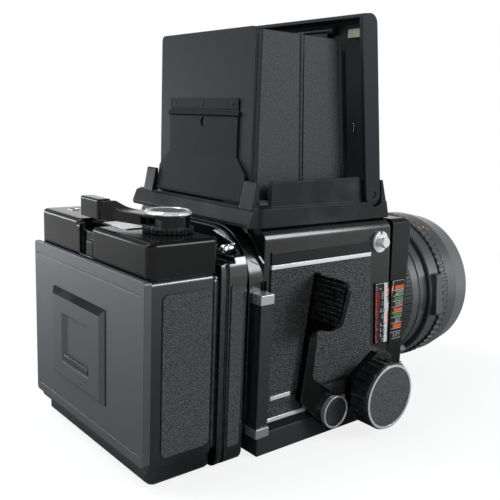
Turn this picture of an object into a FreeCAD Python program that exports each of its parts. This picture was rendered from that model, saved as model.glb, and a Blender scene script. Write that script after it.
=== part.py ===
import FreeCAD, Part
import math
import os

# Medium format single lens reflex camera with a revolving roll film back, a bellows
# front and a folding waist level finder. Millimetres. X to the right of the person who
# holds it, Y from the film to the lens, Z up. The origin is the mouth of the tripod
# socket, in the middle of the underside.

V = FreeCAD.Vector

# Driving dimensions of the body
body_width = 104.0
body_height = 106.0
half_width = body_width / 2
flange_rear_y = -41.0
side_rear_y = -33.0
front_top_y = 50.2
front_bottom_y = 57.2
base_height = 11.0
base_wall = 2.5
top_edge_radius = 6.0
flange_corner_radius = 25.0
axis_z = body_height / 2
fit = 0.3
pin_fit = 0.1

# Mirror chamber, bellows bay and focusing screen
chamber_half_width = half_width - 13.5
chamber_low_z = 14.5
chamber_high_z = body_height - 13.0
chamber_rear_y = -38.0
chamber_front_y = 46.0
gate_half = 36.0
bay_half_width = half_width - 11.0
bay_low_z = 24.5
bay_high_z = body_height - 9.5
bay_rear_y = 44.0
screen_half_width = half_width - 12.7
screen_rear_y = -33.3
screen_front_y = 42.3
screen_seat_z = body_height - 5.8
screen_border = 2.8
mirror_length = 84.0
mirror_half_width = chamber_half_width - 4.5
mirror_tip_half_width = mirror_half_width - 7.0
mirror_hinge_y = -33.0
mirror_hinge_z = chamber_high_z - 3.2
mirror_angle = 45.0
mirror_thickness = 1.8
mirror_axle_radius = 1.5
mirror_axle_reach = chamber_half_width + 2.5

# Side trim of the body
leather_thickness = 0.8
leather_rear_y = -29.2
leather_front_top_y = 36.0
leather_front_slope = 0.1
leather_low_z = 18.0
leather_high_z = body_height - 18.3
stripe_height = 1.9
stripe_thickness = 1.0
inner_stripe_z = 26.4
inner_stripe_end_y = 23.0
nameplate_high_z = body_height - 10.7
nameplate_thickness = 0.7
index_gap = 3.8
lug_y = 42.7
lug_z = body_height - 11.6
lug_radius = 5.4

# Tripod socket and accessory shoe
socket_radius = 2.6
socket_depth = 9.0
bush_radius = 6.0
shoe_width = 21.0
shoe_slot_width = 18.6
shoe_slot_height = 2.0
shoe_length = 18.0
shoe_y = 6.0
shoe_z = axis_z + 19.0

# Focusing rails, shaft and knobs
shaft_y = 34.7
shaft_z = 20.7
shaft_radius = 3.0
pinion_pitch_radius = 5.73
pinion_teeth = 12
pinion_depth = 2.0
pinion_share = 0.55
pinion_clearance = 0.2
rack_root_share = 0.30
rack_tip_share = 0.14
rail_inner_x = half_width - 8.0
rail_width = 5.0
rail_low_z = 11.2
rail_rear_y = -14.0
knob_radius = 17.0
knob_inner_x = half_width + 8.5
knob_outer_x = knob_inner_x + 12.0
knob_flutes = 24
knob_flute_radius = 1.7
knob_ring_radius = 16.3
knob_ring_width = 1.1
knob_cap_thickness = 0.8
knob_seat = 4.0
housing_rear_y = 24.0
housing_front_y = 53.4
housing_low_z = 12.2
housing_top_z = 37.5
index_low_z = housing_top_z
index_high_z = axis_z + 19.8
gear_housing_height = 5.0

# Cocking lever
lever_y = 10.4
lever_z = 14.1
lever_plane_x = half_width + 1.1
lever_thickness = 3.9
lever_pin_radius = 3.0
lever_cap_radius = 8.2
lever_cap_height = 2.9
lever_tab_reach = 22.2
lever_tab_rear = 17.6
lever_tab_low = 40.4
lever_tab_high = 69.8
lever_tab_thickness = 2.2
lever_lean = 7.8

# Slide lock bars at the rear of the body
bar_inner_x = half_width - 2.0
bar_outer_x = half_width + 6.0
bar_rear_y = -39.0
bar_front_y = -31.5
bar_low_z = 12.8
bar_high_z = body_height - 27.5
bar_cap_height = 4.4
bar_inset = 0.8
bar_rise = 4.0
bar_drop = 1.5

# Front standard and bellows
standard_half_width = half_width - 1.0
standard_high_z = body_height - 1.3
standard_low_z = 6.0
standard_rear_top_y = 54.0
standard_rear_bottom_y = 58.0
standard_front_y = 68.5
standard_wall = 3.6
mount_tube_radius = 33.2
throat_radius = mount_tube_radius - 1.7
bellows_half_width = bay_half_width - 1.0
bellows_low_z = bay_low_z + 2.0
bellows_high_z = bay_high_z - 0.8
bellows_fold = 3.0
bellows_wall = 1.2
bellows_folds = 5

# Lens rings along the optical axis
lock_ring_rear_y = 70.0
lock_ring_front_y = 88.0
lock_ring_radius = mount_tube_radius + 10.0
lock_ring_ribs = 60
filter_radius = 38.5
housing_radius = filter_radius + 2.5
speed_ring_rear_y = 95.3
aperture_ring_rear_y = 102.5
depth_ring_rear_y = 112.0
front_barrel_rear_y = 116.9
lens_front_y = 141.2
speed_ring_radius = housing_radius + 0.5
aperture_ring_radius = housing_radius + 2.8
depth_ring_radius = housing_radius + 4.2
front_barrel_radius = housing_radius + 3.6
front_rim_radius = filter_radius + 3.5
aperture_tab_half_width = 12.0
aperture_tab_height = 2.4
aperture_tab_raise = 4.6
sleeve_radius = housing_radius - 4.0
sleeve_bore = sleeve_radius - 3.0
front_glass_radius = filter_radius - 6.5
front_dome = 3.4
rear_glass_radius = throat_radius - 7.5
shutter_opening = rear_glass_radius - 5.0

# Release button
button_x = standard_half_width - 9.0
button_z = 16.0
button_radius = 4.0
collar_radius = 7.4

# Roll film back
back_rear_y = -93.0
door_thickness = 2.0
door_lip = 3.3
door_low_z = 12.8
door_high_z = body_height - 16.1
hinge_radius = 1.0
hinge_low_z = 20.0
hinge_split_low_z = 32.0
hinge_split_high_z = 70.0
hinge_high_z = 82.0
case_front_y = -59.8
case_low_z = 2.0
case_body_low_z = 12.4
case_high_z = door_high_z - 0.6
case_wall = 2.5
case_base_half_width = half_width - 2.5
flange_front_y = -56.1
flange_half_width = half_width - 1.6
film_gate_half_width = 34.8
film_gate_half_height = axis_z - 25.0
cover_half_width = flange_half_width
cover_rear_y = -90.0
cover_high_z = body_height - 1.8
cover_raised_z = cover_high_z + 1.6
cover_step_x = -9.0
cover_notch_x = 4.1
cover_wall = 2.0
cover_corner_radius = 3.2
cover_edge_radius = 1.9
slide_thickness = 0.8
slide_half_height = film_gate_half_height + 5.0
slide_reach_x = film_gate_half_width + 3.2
slide_handle_width = 9.0
spool_x = half_width - 19.0
spool_y = -76.2
spool_low_z = 21.2
spool_length = 2 * (axis_z - spool_low_z)
spool_pin_radius = 2.4
carrier_plate = 1.6
spool_flange_radius = 12.2
spool_core_radius = 5.6
spool_flange_thickness = 1.2
memo_left_x = -30.0
memo_right_x = 21.0
memo_low_z = 28.8
memo_high_z = 71.5
memo_thickness = 1.6

# Revolving adapter
adapter_rear_y = -55.9
adapter_front_y = -42.3
adapter_half_width = half_width
adapter_half_height = axis_z - 1.0
adapter_top_radius = 18.0
adapter_bottom_radius = 6.0
adapter_opening_half = 37.0
adapter_ledge_z = axis_z + 39.5
adapter_ledge_front_y = -48.4
adapter_step_z = axis_z + 42.0
adapter_web = 1.5
catch_x = half_width - 10.0
catch_radius = 1.9
catch_z = adapter_step_z + catch_radius + fit
catch_length = 5.6
adapter_groove_width = 2.0
adapter_groove_depth = 1.2
adapter_leather_low_z = 10.4
back_leather_high_z = case_high_z - 6.0
back_leather_thickness = 0.6
spigot_radius = (half_width + axis_z) / 2 - 5.0
spigot_bore = spigot_radius - 3.5
spigot_depth = 2.0

# Film wind lever
wind_x = 28.6
wind_y = -67.6
wind_base_radius = 10.9
wind_hub_radius = 9.4
wind_disc_radius = 10.2
wind_shaft_radius = 3.0
wind_arm_low_z = cover_high_z + 2.8
wind_arm_high_z = wind_arm_low_z + 4.8
grip_left_x = -14.5
grip_right_x = 3.0
grip_rear_y = -87.0
grip_front_y = -80.5
grip_high_z = wind_arm_high_z + 4.0
arm_slope_length = 9.0

# Finder base
finder_half_width = half_width - 2.0
finder_rear_y = -40.0
finder_front_y = 50.6
finder_skirt_z = body_height + 8.3
well_half_width = half_width - 13.8
well_rear_y = -31.8
well_front_y = 38.0
finder_wall_inner_x = half_width - 8.8
finder_wall_outer_x = finder_wall_inner_x + 2.5
finder_wall_z = finder_skirt_z + 11.3
finder_wall_rear_y = -25.0
post_rear_y = well_rear_y - 3.6
post_return = 2.6
post_left_outer_x = finder_wall_outer_x - 2.0

# Lid with the magnifier
lid_half_width = half_width - 4.0
lid_wall = 1.8
lid_depth = 10.4
lid_length = 86.0
lid_pivot_y = 40.3
lid_pivot_z = finder_skirt_z + 3.2
lid_lean = 7.7
lid_pin_radius = 1.8
magnifier_hinge = 80.0
magnifier_radius = 17.5
magnifier_rim = 2.2
magnifier_x = -1.0
magnifier_drop = 42.0
magnifier_left_x = -21.6
magnifier_right_x = 19.6
magnifier_pin_radius = 0.9
magnifier_pin_length = 1.8

# Hood panels
hood_half_width = well_half_width - 1.0
hood_rear_y = -30.2
hood_low_z = finder_skirt_z + 2.7
hood_high_z = hood_low_z + 73.5
hood_back_high_z = hood_high_z + 1.1
hood_panel_thickness = 0.8
hood_foot_z = hood_low_z + 9.5
hood_corner_y = -28.8
hood_front_y = 28.6
hood_lean = 6.5
hood_flange_y = -26.9
hood_fold_gap = 1.7
hood_post_depth = 2.5
hood_post_z = hood_high_z - 4.5
support_low_z = hood_low_z - 1.6
support_crease_z = support_low_z + 19.6
support_shoulder_z = support_low_z + 12.2
support_high_z = support_low_z + 37.3
support_strip_low_z = support_high_z + 3.6
support_strip_z = support_strip_low_z + 4.9
support_half_width = hood_half_width - 9.6
support_base_half_width = hood_half_width - 2.1
support_lean = 8.2



def place(axis, along, u, v):
    if axis == "x":
        return V(along, u, v)
    if axis == "y":
        return V(u, along, v)
    return V(u, v, along)


def direction(axis):
    return place(axis, 1, 0, 0)


def box(x, y, z):
    size = (x[1] - x[0], y[1] - y[0], z[1] - z[0])
    return Part.makeBox(size[0], size[1], size[2], V(x[0], y[0], z[0]))


def rod(axis, start, end, u, v, radius):
    return Part.makeCylinder(radius, end - start, place(axis, start, u, v), direction(axis))


def rounded_edges(corners, to_point):
    # Lines between the corners, with an arc of each corner's own radius.
    count = len(corners)
    tangents = []
    for i in range(count):
        u, v, radius = corners[i]
        before = corners[i - 1]
        after = corners[(i + 1) % count]
        a = V(before[0] - u, before[1] - v, 0)
        b = V(after[0] - u, after[1] - v, 0)
        a.normalize()
        b.normalize()
        if radius <= 0:
            tangents.append(((u, v), None, (u, v)))
            continue
        half = a.getAngle(b) / 2
        reach = radius / math.tan(half)
        middle = (a + b).normalize() * (radius / math.sin(half) - radius)
        tangents.append(((u + a.x * reach, v + a.y * reach), (u + middle.x, v + middle.y),
                         (u + b.x * reach, v + b.y * reach)))
    edges = []
    for i in range(count):
        start, middle, end = tangents[i]
        if middle is not None:
            edges.append(Part.Arc(to_point(*start), to_point(*middle), to_point(*end)).toShape())
        following = tangents[(i + 1) % count][0]
        if math.dist(end, following) > 1e-6:
            edges.append(Part.LineSegment(to_point(*end), to_point(*following)).toShape())
    return edges


def plate(axis, start, end, corners):
    # A flat piece with rounded corners, given as (u, v, radius) round its outline.
    edges = rounded_edges(corners, lambda u, v: place(axis, start, u, v))
    face = Part.Face(Part.Wire(edges))
    return face.extrude(direction(axis) * (end - start))


def rounded_block(axis, start, end, u, v, radius):
    corners = [(u[0], v[0], radius), (u[1], v[0], radius), (u[1], v[1], radius), (u[0], v[1], radius)]
    return plate(axis, start, end, corners)


def turned(profile, u=0.0, v=axis_z, axis="y"):
    # A closed profile of (along, radius) points, turned once round the axis.
    points = [place(axis, along, u, v + radius) for along, radius in profile]
    face = Part.Face(Part.makePolygon(points + [points[0]]))
    return face.revolve(place(axis, 0, u, v), direction(axis), 360)


def toothed(axis, start, end, u, v, root, tip, count, share=0.5, turn=0.0):
    # A ribbed disc: trapezoid ribs round the rim.
    step = 2 * math.pi / count
    points = []
    for i in range(count):
        for offset, radius in ((-0.5 * share, root), (-0.3 * share, tip), (0.3 * share, tip),
                               (0.5 * share, root)):
            angle = (i + offset) * step + turn
            points.append(place(axis, start, u + radius * math.cos(angle), v + radius * math.sin(angle)))
    face = Part.Face(Part.makePolygon(points + [points[0]]))
    return face.extrude(direction(axis) * (end - start))


def joined(first, *others):
    return first.multiFuse(list(others)).removeSplitter()


def both_sides(shape):
    return Part.makeCompound([shape, mirrored(shape)])


def mirrored(shape):
    return shape.mirror(V(0, 0, 0), V(1, 0, 0))


def swung(shape, degrees, point, axis="x"):
    copy = shape.copy()
    copy.rotate(point, direction(axis), degrees)
    return copy


def front_face_y(z):
    # The front of the body leans forward towards its foot.
    return front_bottom_y + (front_top_y - front_bottom_y) * z / body_height


def standard_rear_y(z):
    lean = standard_rear_top_y - standard_rear_bottom_y
    return standard_rear_bottom_y + lean * (z - standard_low_z) / (standard_high_z - standard_low_z)


def leather_front_y(z):
    return leather_front_top_y + (leather_high_z - z) * leather_front_slope


# Body

def body_outline(low_z, high_z):
    side = plate("x", -half_width, half_width, [
        (side_rear_y, low_z, 0), (front_face_y(low_z), low_z, 0),
        (front_face_y(high_z), high_z, top_edge_radius - 1), (side_rear_y, high_z, 0)])
    section = plate("y", side_rear_y, front_bottom_y, [
        (-half_width, low_z, 0), (half_width, low_z, 0),
        (half_width, high_z, top_edge_radius), (-half_width, high_z, top_edge_radius)])
    return side.common(section)


def body_shell():
    shell = body_outline(base_height, body_height)
    flange = rounded_block("y", flange_rear_y, side_rear_y, (-half_width, half_width), (0, body_height),
                           flange_corner_radius)
    housing = gear_housing(half_width - 1, half_width + gear_housing_height)
    pivot = rod("x", half_width, lever_plane_x + lever_thickness + 1, lever_y, lever_z, lever_pin_radius)
    shell = joined(shell, flange, housing, mirrored(housing), pivot)
    cuts = [
        box((-chamber_half_width, chamber_half_width), (chamber_rear_y, chamber_front_y),
            (chamber_low_z, chamber_high_z)),
        box((-gate_half, gate_half), (flange_rear_y - 1, chamber_rear_y + 1),
            (axis_z - gate_half, axis_z + gate_half)),
        box((-bay_half_width, bay_half_width), (bay_rear_y, front_bottom_y + 1), (bay_low_z, bay_high_z)),
        box((-screen_half_width + screen_border, screen_half_width - screen_border),
            (screen_rear_y + screen_border, screen_front_y - screen_border),
            (chamber_high_z - 1, body_height + 1)),
        box((-screen_half_width - pin_fit, screen_half_width + pin_fit),
            (screen_rear_y - pin_fit, screen_front_y + pin_fit), (screen_seat_z, body_height + 1)),
        rod("y", flange_rear_y - 1, flange_rear_y + spigot_depth, 0, axis_z, spigot_radius + fit),
        rod("x", -knob_inner_x, knob_inner_x, shaft_y, shaft_z, shaft_radius + pin_fit),
        rod("x", -mirror_axle_reach - fit, mirror_axle_reach + fit, mirror_hinge_y, mirror_hinge_z,
            mirror_axle_radius + pin_fit),
    ]
    rail_outer_x = rail_inner_x + rail_width
    channel = box((rail_inner_x - fit, rail_outer_x + fit), (rail_rear_y - 2, front_bottom_y + 1),
                  (base_height - 1, rail_low_z + 5.4))
    pinion_room = rod("x", rail_inner_x - fit, rail_outer_x + fit, shaft_y, shaft_z,
                      pinion_pitch_radius + 2.2)
    pocket = box((bar_inner_x, half_width + 1), (bar_rear_y - fit, bar_front_y + fit),
                 (bar_low_z - bar_drop - fit, bar_high_z + bar_rise + fit))
    for shape in (channel, pinion_room, pocket):
        cuts += [shape, mirrored(shape)]
    return shell.cut(cuts).removeSplitter()


def base_plate():
    tray = plate("z", 0, base_height, [
        (-half_width, side_rear_y, 0), (half_width, side_rear_y, 0),
        (half_width, front_face_y(base_height), 4), (-half_width, front_face_y(base_height), 4)])
    tray = tray.makeChamfer(0.4, [edge for edge in tray.Edges if edge.BoundBox.ZMax < 0.01])
    inside = box((-half_width + 6, half_width - 6), (side_rear_y + 5, front_top_y - 6),
                 (base_wall, base_height + 1))
    boss = rod("z", base_wall, base_height - 0.5, 0, 0, bush_radius + 3)
    seat = rod("z", -1, base_height, 0, 0, bush_radius)
    return tray.cut(inside).fuse(boss).cut(seat).removeSplitter()


def tripod_bush():
    barrel = rod("z", 0, base_height - 0.5, 0, 0, bush_radius)
    bore = rod("z", -1, socket_depth, 0, 0, socket_radius)
    return barrel.cut(bore)


def gear_housing(low, high, grow=0.0):
    # The bearing block of the focusing shaft on the side of the body.
    return plate("x", low, high, [
        (housing_rear_y - grow, housing_low_z - grow, 0), (housing_front_y, housing_low_z - grow, 0),
        (housing_front_y, housing_top_z - 4, 1), (housing_front_y - 5, housing_top_z + grow, 1.5),
        (housing_rear_y + 18 - grow, housing_top_z + grow, 1),
        (housing_rear_y - grow, housing_low_z + 14, 1)])


def side_leather(lever_side):
    panel = plate("x", half_width, half_width + leather_thickness, [
        (leather_rear_y, leather_low_z, 1), (leather_front_y(leather_low_z), leather_low_z, 1),
        (leather_front_y(leather_high_z), leather_high_z, 1), (leather_rear_y, leather_high_z, 1)])
    cuts = [gear_housing(half_width - 1, half_width + 2, fit),
            box((half_width - 1, half_width + 2), (leather_rear_y + 2.3, inner_stripe_end_y + pin_fit),
                (inner_stripe_z - pin_fit, inner_stripe_z + stripe_height + pin_fit))]
    if lever_side:
        cuts.append(rod("x", half_width - 1, half_width + 2, lever_y, lever_z, lever_pin_radius + 2))
        return Part.makeCompound(panel.cut(cuts).Solids)
    cuts.append(box((half_width - 1, half_width + 2),
                    (shoe_y - shoe_length / 2 - fit, shoe_y + shoe_length / 2 + fit),
                    (shoe_z - shoe_width / 2 - fit, shoe_z + shoe_width / 2 + fit)))
    return Part.makeCompound(mirrored(panel.cut(cuts)).Solids)


def trim_stripes():
    # Bright lines: one over the leather, one set in it and one under it.
    high = half_width + stripe_thickness
    upper = box((half_width, high), (leather_rear_y, leather_front_top_y),
                (leather_high_z + pin_fit, leather_high_z + pin_fit + stripe_height))
    inner = box((half_width, high), (leather_rear_y + 2.4, inner_stripe_end_y),
                (inner_stripe_z, inner_stripe_z + stripe_height))
    lower = box((half_width, high), (leather_rear_y, housing_rear_y - fit),
                (leather_low_z - pin_fit - stripe_height, leather_low_z - pin_fit))
    lower = lower.cut(rod("x", half_width - 1, half_width + 2, lever_y, lever_z, lever_pin_radius + 2))
    lines = [upper, inner] + lower.Solids
    return Part.makeCompound(lines + [mirrored(line) for line in lines])


def nameplates():
    low = leather_high_z + 2 * pin_fit + stripe_height
    strip = box((half_width, half_width + nameplate_thickness), (leather_rear_y, leather_front_top_y),
                (low, nameplate_high_z))
    return both_sides(strip)


def index_plate():
    low = index_low_z + 2.5
    return plate("x", half_width, half_width + nameplate_thickness, [
        (leather_front_y(low) + index_gap, low, 0.8), (front_face_y(low) - 0.2, low, 0.3),
        (front_face_y(index_high_z) - 0.2, index_high_z, 0.3),
        (leather_front_y(index_high_z) + index_gap, index_high_z, 0.8)])


def strap_lugs():
    washer = rod("x", half_width, half_width + 1.2, lug_y, lug_z, lug_radius)
    notch = box((half_width - 1, half_width + 2), (lug_y - 0.9, lug_y + 0.9),
                (lug_z + lug_radius - 1.6, lug_z + lug_radius + 1))
    stud = turned([(half_width + 0.6, 0), (half_width + 0.6, 2.2), (half_width + 2.4, 2.0),
                   (half_width + 2.8, 2.8),
                   (half_width + 4.2, 2.9), (half_width + 4.8, 2.4),
                   (half_width + 4.8, 0)], lug_y, lug_z, "x")
    return both_sides(joined(washer.cut(notch), stud))


def accessory_shoe():
    half_length = shoe_length / 2
    rail = (shoe_width - shoe_slot_width) / 2 + 3.2
    foot = box((half_width, half_width + 1.6), (shoe_y - half_length, shoe_y + half_length),
               (shoe_z - shoe_width / 2, shoe_z + shoe_width / 2))
    depth = half_width + 1.6 + shoe_slot_height
    walls = []
    for side in (-1, 1):
        outer = shoe_z + side * shoe_width / 2
        inner = shoe_z + side * shoe_slot_width / 2
        lip = outer - side * rail
        low_wall, high_wall = sorted((outer, inner))
        low_lip, high_lip = sorted((outer, lip))
        walls.append(box((half_width, depth), (shoe_y - half_length, shoe_y + half_length),
                         (low_wall, high_wall)))
        walls.append(box((depth, depth + 1.2), (shoe_y - half_length, shoe_y + half_length),
                         (low_lip, high_lip)))
    stop = box((half_width, depth), (shoe_y - half_length, shoe_y - half_length + 1.2),
               (shoe_z - shoe_slot_width / 2, shoe_z + shoe_slot_width / 2))
    return mirrored(joined(foot, stop, *walls))


def focusing_screen():
    return box((-screen_half_width, screen_half_width), (screen_rear_y, screen_front_y),
               (screen_seat_z, body_height - 0.4))


# Reflex mirror

def mirror_outline(low_z, high_z, inset):
    tip_y = mirror_hinge_y + mirror_length - inset
    shoulder_y = mirror_hinge_y + mirror_length * 0.6
    flat = plate("z", low_z, high_z, [
        (-mirror_half_width + inset, mirror_hinge_y + 0.5 + inset, 0),
        (mirror_half_width - inset, mirror_hinge_y + 0.5 + inset, 0),
        (mirror_half_width - inset, shoulder_y, 0), (mirror_tip_half_width - inset, tip_y, 2),
        (-mirror_tip_half_width + inset, tip_y, 2), (-mirror_half_width + inset, shoulder_y, 0)])
    return flat


def lowered(shape):
    return swung(shape, -mirror_angle, V(0, mirror_hinge_y, mirror_hinge_z))


def mirror_carrier():
    back = mirror_outline(mirror_hinge_z - mirror_thickness, mirror_hinge_z, 0)
    axle = rod("x", -mirror_axle_reach, mirror_axle_reach, mirror_hinge_y, mirror_hinge_z, mirror_axle_radius)
    return joined(lowered(back), axle)


def mirror_glass():
    return lowered(mirror_outline(mirror_hinge_z, mirror_hinge_z + 1.4, 1.0))


# Focusing drive

def focus_shaft():
    # One tooth of each pinion points straight down into the gap of its rack.
    shaft = rod("x", -knob_inner_x - knob_seat, knob_inner_x + knob_seat, shaft_y, shaft_z, shaft_radius)
    middle_radius = pinion_pitch_radius - pinion_clearance
    pinion = toothed("x", rail_inner_x + fit, rail_inner_x + rail_width - fit, shaft_y, shaft_z,
                     middle_radius - pinion_depth / 2, middle_radius + pinion_depth / 2,
                     pinion_teeth, pinion_share, -math.pi / 2)
    return joined(shaft, pinion, mirrored(pinion))


def rail_front_y():
    return standard_rear_y(rail_low_z) + 4


def rack_root_z():
    return shaft_z - pinion_pitch_radius - pinion_depth / 2 - pinion_clearance


def focus_rails():
    # Two racks whose teeth run under the pinions.
    pitch = 2 * math.pi * pinion_pitch_radius / pinion_teeth
    root_z = rack_root_z()
    tip_z = root_z + pinion_depth
    start_y = rail_front_y()
    tooth_end_y = min(standard_rear_y(root_z), standard_rear_y(tip_z)) - fit
    points = [(rail_rear_y, rail_low_z), (start_y, rail_low_z), (start_y, root_z)]
    first = int((tooth_end_y - shaft_y) / pitch)
    last = -int((shaft_y - rail_rear_y - 2) / pitch)
    for i in range(first, last - 1, -1):
        middle = shaft_y + (i + 0.5) * pitch
        if middle - pitch / 2 < rail_rear_y or middle + pitch / 2 > tooth_end_y:
            continue
        for offset, z in ((rack_root_share, root_z), (rack_tip_share, tip_z),
                          (-rack_tip_share, tip_z), (-rack_root_share, root_z)):
            points.append((middle + offset * pitch, z))
    points.append((rail_rear_y, root_z))
    corners = [(y, z, 0) for y, z in points]
    rack = plate("x", rail_inner_x, rail_inner_x + rail_width, corners)
    return both_sides(rack)


def focus_knob():
    knob = turned([(knob_inner_x, shaft_radius), (knob_inner_x, knob_radius - 1.5),
                   (knob_inner_x + 1.5, knob_radius),
                   (knob_outer_x - 1, knob_radius), (knob_outer_x, knob_radius - 0.8),
                   (knob_outer_x, knob_ring_radius),
                   (knob_outer_x - knob_cap_thickness, knob_ring_radius),
                   (knob_outer_x - knob_cap_thickness, 0),
                   (knob_inner_x + knob_seat, 0),
                   (knob_inner_x + knob_seat, shaft_radius)], shaft_y, shaft_z, "x")
    flutes = []
    for i in range(knob_flutes):
        angle = 2 * math.pi * i / knob_flutes
        reach = knob_radius + knob_flute_radius * 0.35
        flutes.append(rod("x", knob_inner_x - 1, knob_outer_x - 2.6, shaft_y + reach * math.cos(angle),
                          shaft_z + reach * math.sin(angle), knob_flute_radius))
    return knob.cut(flutes)


def knob_rings():
    low = knob_outer_x - knob_cap_thickness
    ring = rod("x", low, knob_outer_x + 0.3, shaft_y, shaft_z, knob_ring_radius)
    ring = ring.cut(rod("x", low - 1, knob_outer_x + 1, shaft_y, shaft_z, knob_ring_radius - knob_ring_width))
    return both_sides(ring)


def knob_discs():
    low = knob_outer_x - knob_cap_thickness
    return both_sides(rod("x", low, knob_outer_x, shaft_y, shaft_z, knob_ring_radius - knob_ring_width))


def focus_lock_lever():
    # On the left, a short lever round the shaft between the knob and the body.
    low = half_width + gear_housing_height + fit
    high = knob_inner_x - fit
    ring = rod("x", low, high, shaft_y, shaft_z, 8.0)
    arm = plate("x", low, high, [
        (shaft_y - 4.5, shaft_z + 2, 0), (shaft_y + 4.5, shaft_z + 2, 0),
        (shaft_y + 3, shaft_z + 25, 3), (shaft_y - 3, shaft_z + 25, 3)])
    tip = plate("x", low, knob_inner_x + 3, [
        (shaft_y - 3.4, shaft_z + 18.6, 0.8), (shaft_y + 3.4, shaft_z + 18.6, 0.8),
        (shaft_y + 3, shaft_z + 25.5, 2.4), (shaft_y - 3, shaft_z + 25.5, 2.4)])
    bore = rod("x", low - 1, high + 1, shaft_y, shaft_z, shaft_radius + pin_fit)
    return mirrored(joined(ring, arm, tip).cut(bore))


# Cocking lever

def cocking_lever():
    low = lever_plane_x
    high = lever_plane_x + lever_thickness
    rear_y = lever_y - lever_tab_rear
    arm = plate("x", low, high, [
        (lever_y - 3.8, lever_z - 7.5, 5), (lever_y - 18.9, lever_z + 6.4, 2),
        (lever_y - 21.6, lever_z + 9.4, 2), (rear_y, lever_z + lever_tab_low, 0),
        (lever_y - 13.4, lever_z + lever_tab_high, 1),
        (lever_y - 11.0, lever_z + lever_tab_high, 1), (lever_y - 12.9, lever_z + 43.5, 2),
        (lever_y - 12.9, lever_z + 39.0, 6), (lever_y - 14.6, lever_z + 19.6, 3),
        (lever_y + 5.2, lever_z + 6.2, 0)])
    hub = rod("x", low, high, lever_y, lever_z, lever_cap_radius)
    reach = low + lever_tab_reach
    bottom = lever_z + lever_tab_low
    top = lever_z + lever_tab_high
    tab = plate("y", rear_y, rear_y + lever_tab_thickness, [
        (low, bottom, 0), (high, bottom, 0), (high + 1.6, bottom + 2.8, 1.5), (high + 5.2, bottom + 4.6, 3),
        (reach - 7.4, bottom + 5.4, 3), (reach - 1.8, bottom + 9.6, 3), (reach, top - 3.0, 3),
        (reach - 3.0, top, 2.4),
        (low, top, 1)])
    ribs = []
    for i in range(9):
        z = bottom + 9.0 + i * 2.2
        ribs.append(box((low + 2.5, reach - 2.6), (rear_y - 0.4, rear_y + 0.2), (z, z + 1.0)))
    tab = swung(joined(tab, *ribs), -lever_lean, V(0, rear_y, bottom))
    bore = rod("x", low - 1, high + 1, lever_y, lever_z, lever_pin_radius + pin_fit)
    return joined(arm, hub, tab).cut(bore)


def cocking_lever_cap():
    low = lever_plane_x + lever_thickness
    return turned([(low, lever_pin_radius + 1), (low, lever_cap_radius - 0.4),
                   (low + lever_cap_height, lever_cap_radius),
                   (low + lever_cap_height, lever_cap_radius - 0.8),
                   (low + lever_cap_height - 0.3, lever_cap_radius - 0.9),
                   (low + lever_cap_height - 0.3, 0), (low + 1.5, 0), (low + 1.5, lever_pin_radius + 1)],
                  lever_y, lever_z, "x")


# Slide lock bars

def lock_bar():
    bar = box((bar_inner_x + pin_fit, bar_outer_x - bar_inset),
              (bar_rear_y + bar_inset, bar_front_y - bar_inset / 2),
              (bar_low_z + 1, bar_high_z - 1))
    caps = []
    for low in (bar_low_z, bar_high_z - bar_cap_height):
        cap = box((bar_inner_x + pin_fit, bar_outer_x), (bar_rear_y, bar_front_y),
                  (low, low + bar_cap_height))
        caps.append(cap)
    return joined(bar, *caps)


# Front standard

def front_standard():
    side = plate("x", -standard_half_width, standard_half_width, [
        (standard_rear_y(standard_low_z), standard_low_z, 0), (standard_front_y, standard_low_z, 2),
        (standard_front_y, standard_high_z, 5), (standard_rear_y(standard_high_z), standard_high_z, 0)])
    section = rounded_block("y", standard_rear_top_y, standard_front_y,
                            (-standard_half_width, standard_half_width),
                            (standard_low_z, standard_high_z), 3)
    block = side.common(section)
    wall = standard_wall
    inside = box((-standard_half_width + wall, standard_half_width - wall),
                 (standard_rear_top_y - 5, standard_front_y - wall),
                 (standard_low_z + wall, standard_high_z - wall))
    tube = rod("y", standard_front_y - 1, lock_ring_front_y - fit, 0, axis_z, mount_tube_radius)
    button_boss = rod("y", standard_front_y - wall, standard_front_y + 5, button_x, button_z, collar_radius)
    throat = rod("y", standard_front_y - wall - 1, lock_ring_front_y + 1, 0, axis_z, throat_radius)
    button_bore = rod("y", standard_front_y - wall - 1, standard_front_y + 6, button_x, button_z,
                      button_radius + pin_fit)
    cuts = [throat, button_bore]
    rack_pocket = box((rail_inner_x, rail_inner_x + rail_width), (standard_rear_top_y - 5, rail_front_y()),
                      (rail_low_z, rack_root_z()))
    cuts += [rack_pocket, mirrored(rack_pocket)]
    return joined(block.cut(inside), tube, button_boss).cut(cuts).removeSplitter()


def scale_plate():
    low = index_low_z + 0.4
    high = index_high_z - 0.4
    return plate("x", standard_half_width, standard_half_width + nameplate_thickness, [
        (standard_rear_y(low) + 0.4, low, 0.3), (standard_front_y - 2.2, low, 1.5),
        (standard_front_y - 2.2, high, 1.5), (standard_rear_y(high) + 0.4, high, 0.3)])


def bellows():
    # A square pleated sleeve between the body's bay and the front plate.
    rear = bay_rear_y + pin_fit
    front = standard_front_y - standard_wall - pin_fit
    step = (front - rear) / (2 * bellows_folds)
    outer = []
    inner = []
    for i in range(2 * bellows_folds + 1):
        sunk = bellows_fold if i % 2 else 0.0
        y = rear + i * step
        outer.append(bellows_section(y, sunk))
        inner.append(bellows_section(y, sunk + bellows_wall))
    sleeve = Part.makeLoft(outer, True, True)
    hollow = Part.makeLoft(inner, True, True)
    return sleeve.cut(hollow)


def bellows_section(y, sunk):
    half = bellows_half_width - sunk
    low = bellows_low_z + sunk
    high = bellows_high_z - sunk
    points = [V(-half, y, low), V(half, y, low), V(half, y, high), V(-half, y, high)]
    return Part.makePolygon(points + [points[0]])


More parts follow.
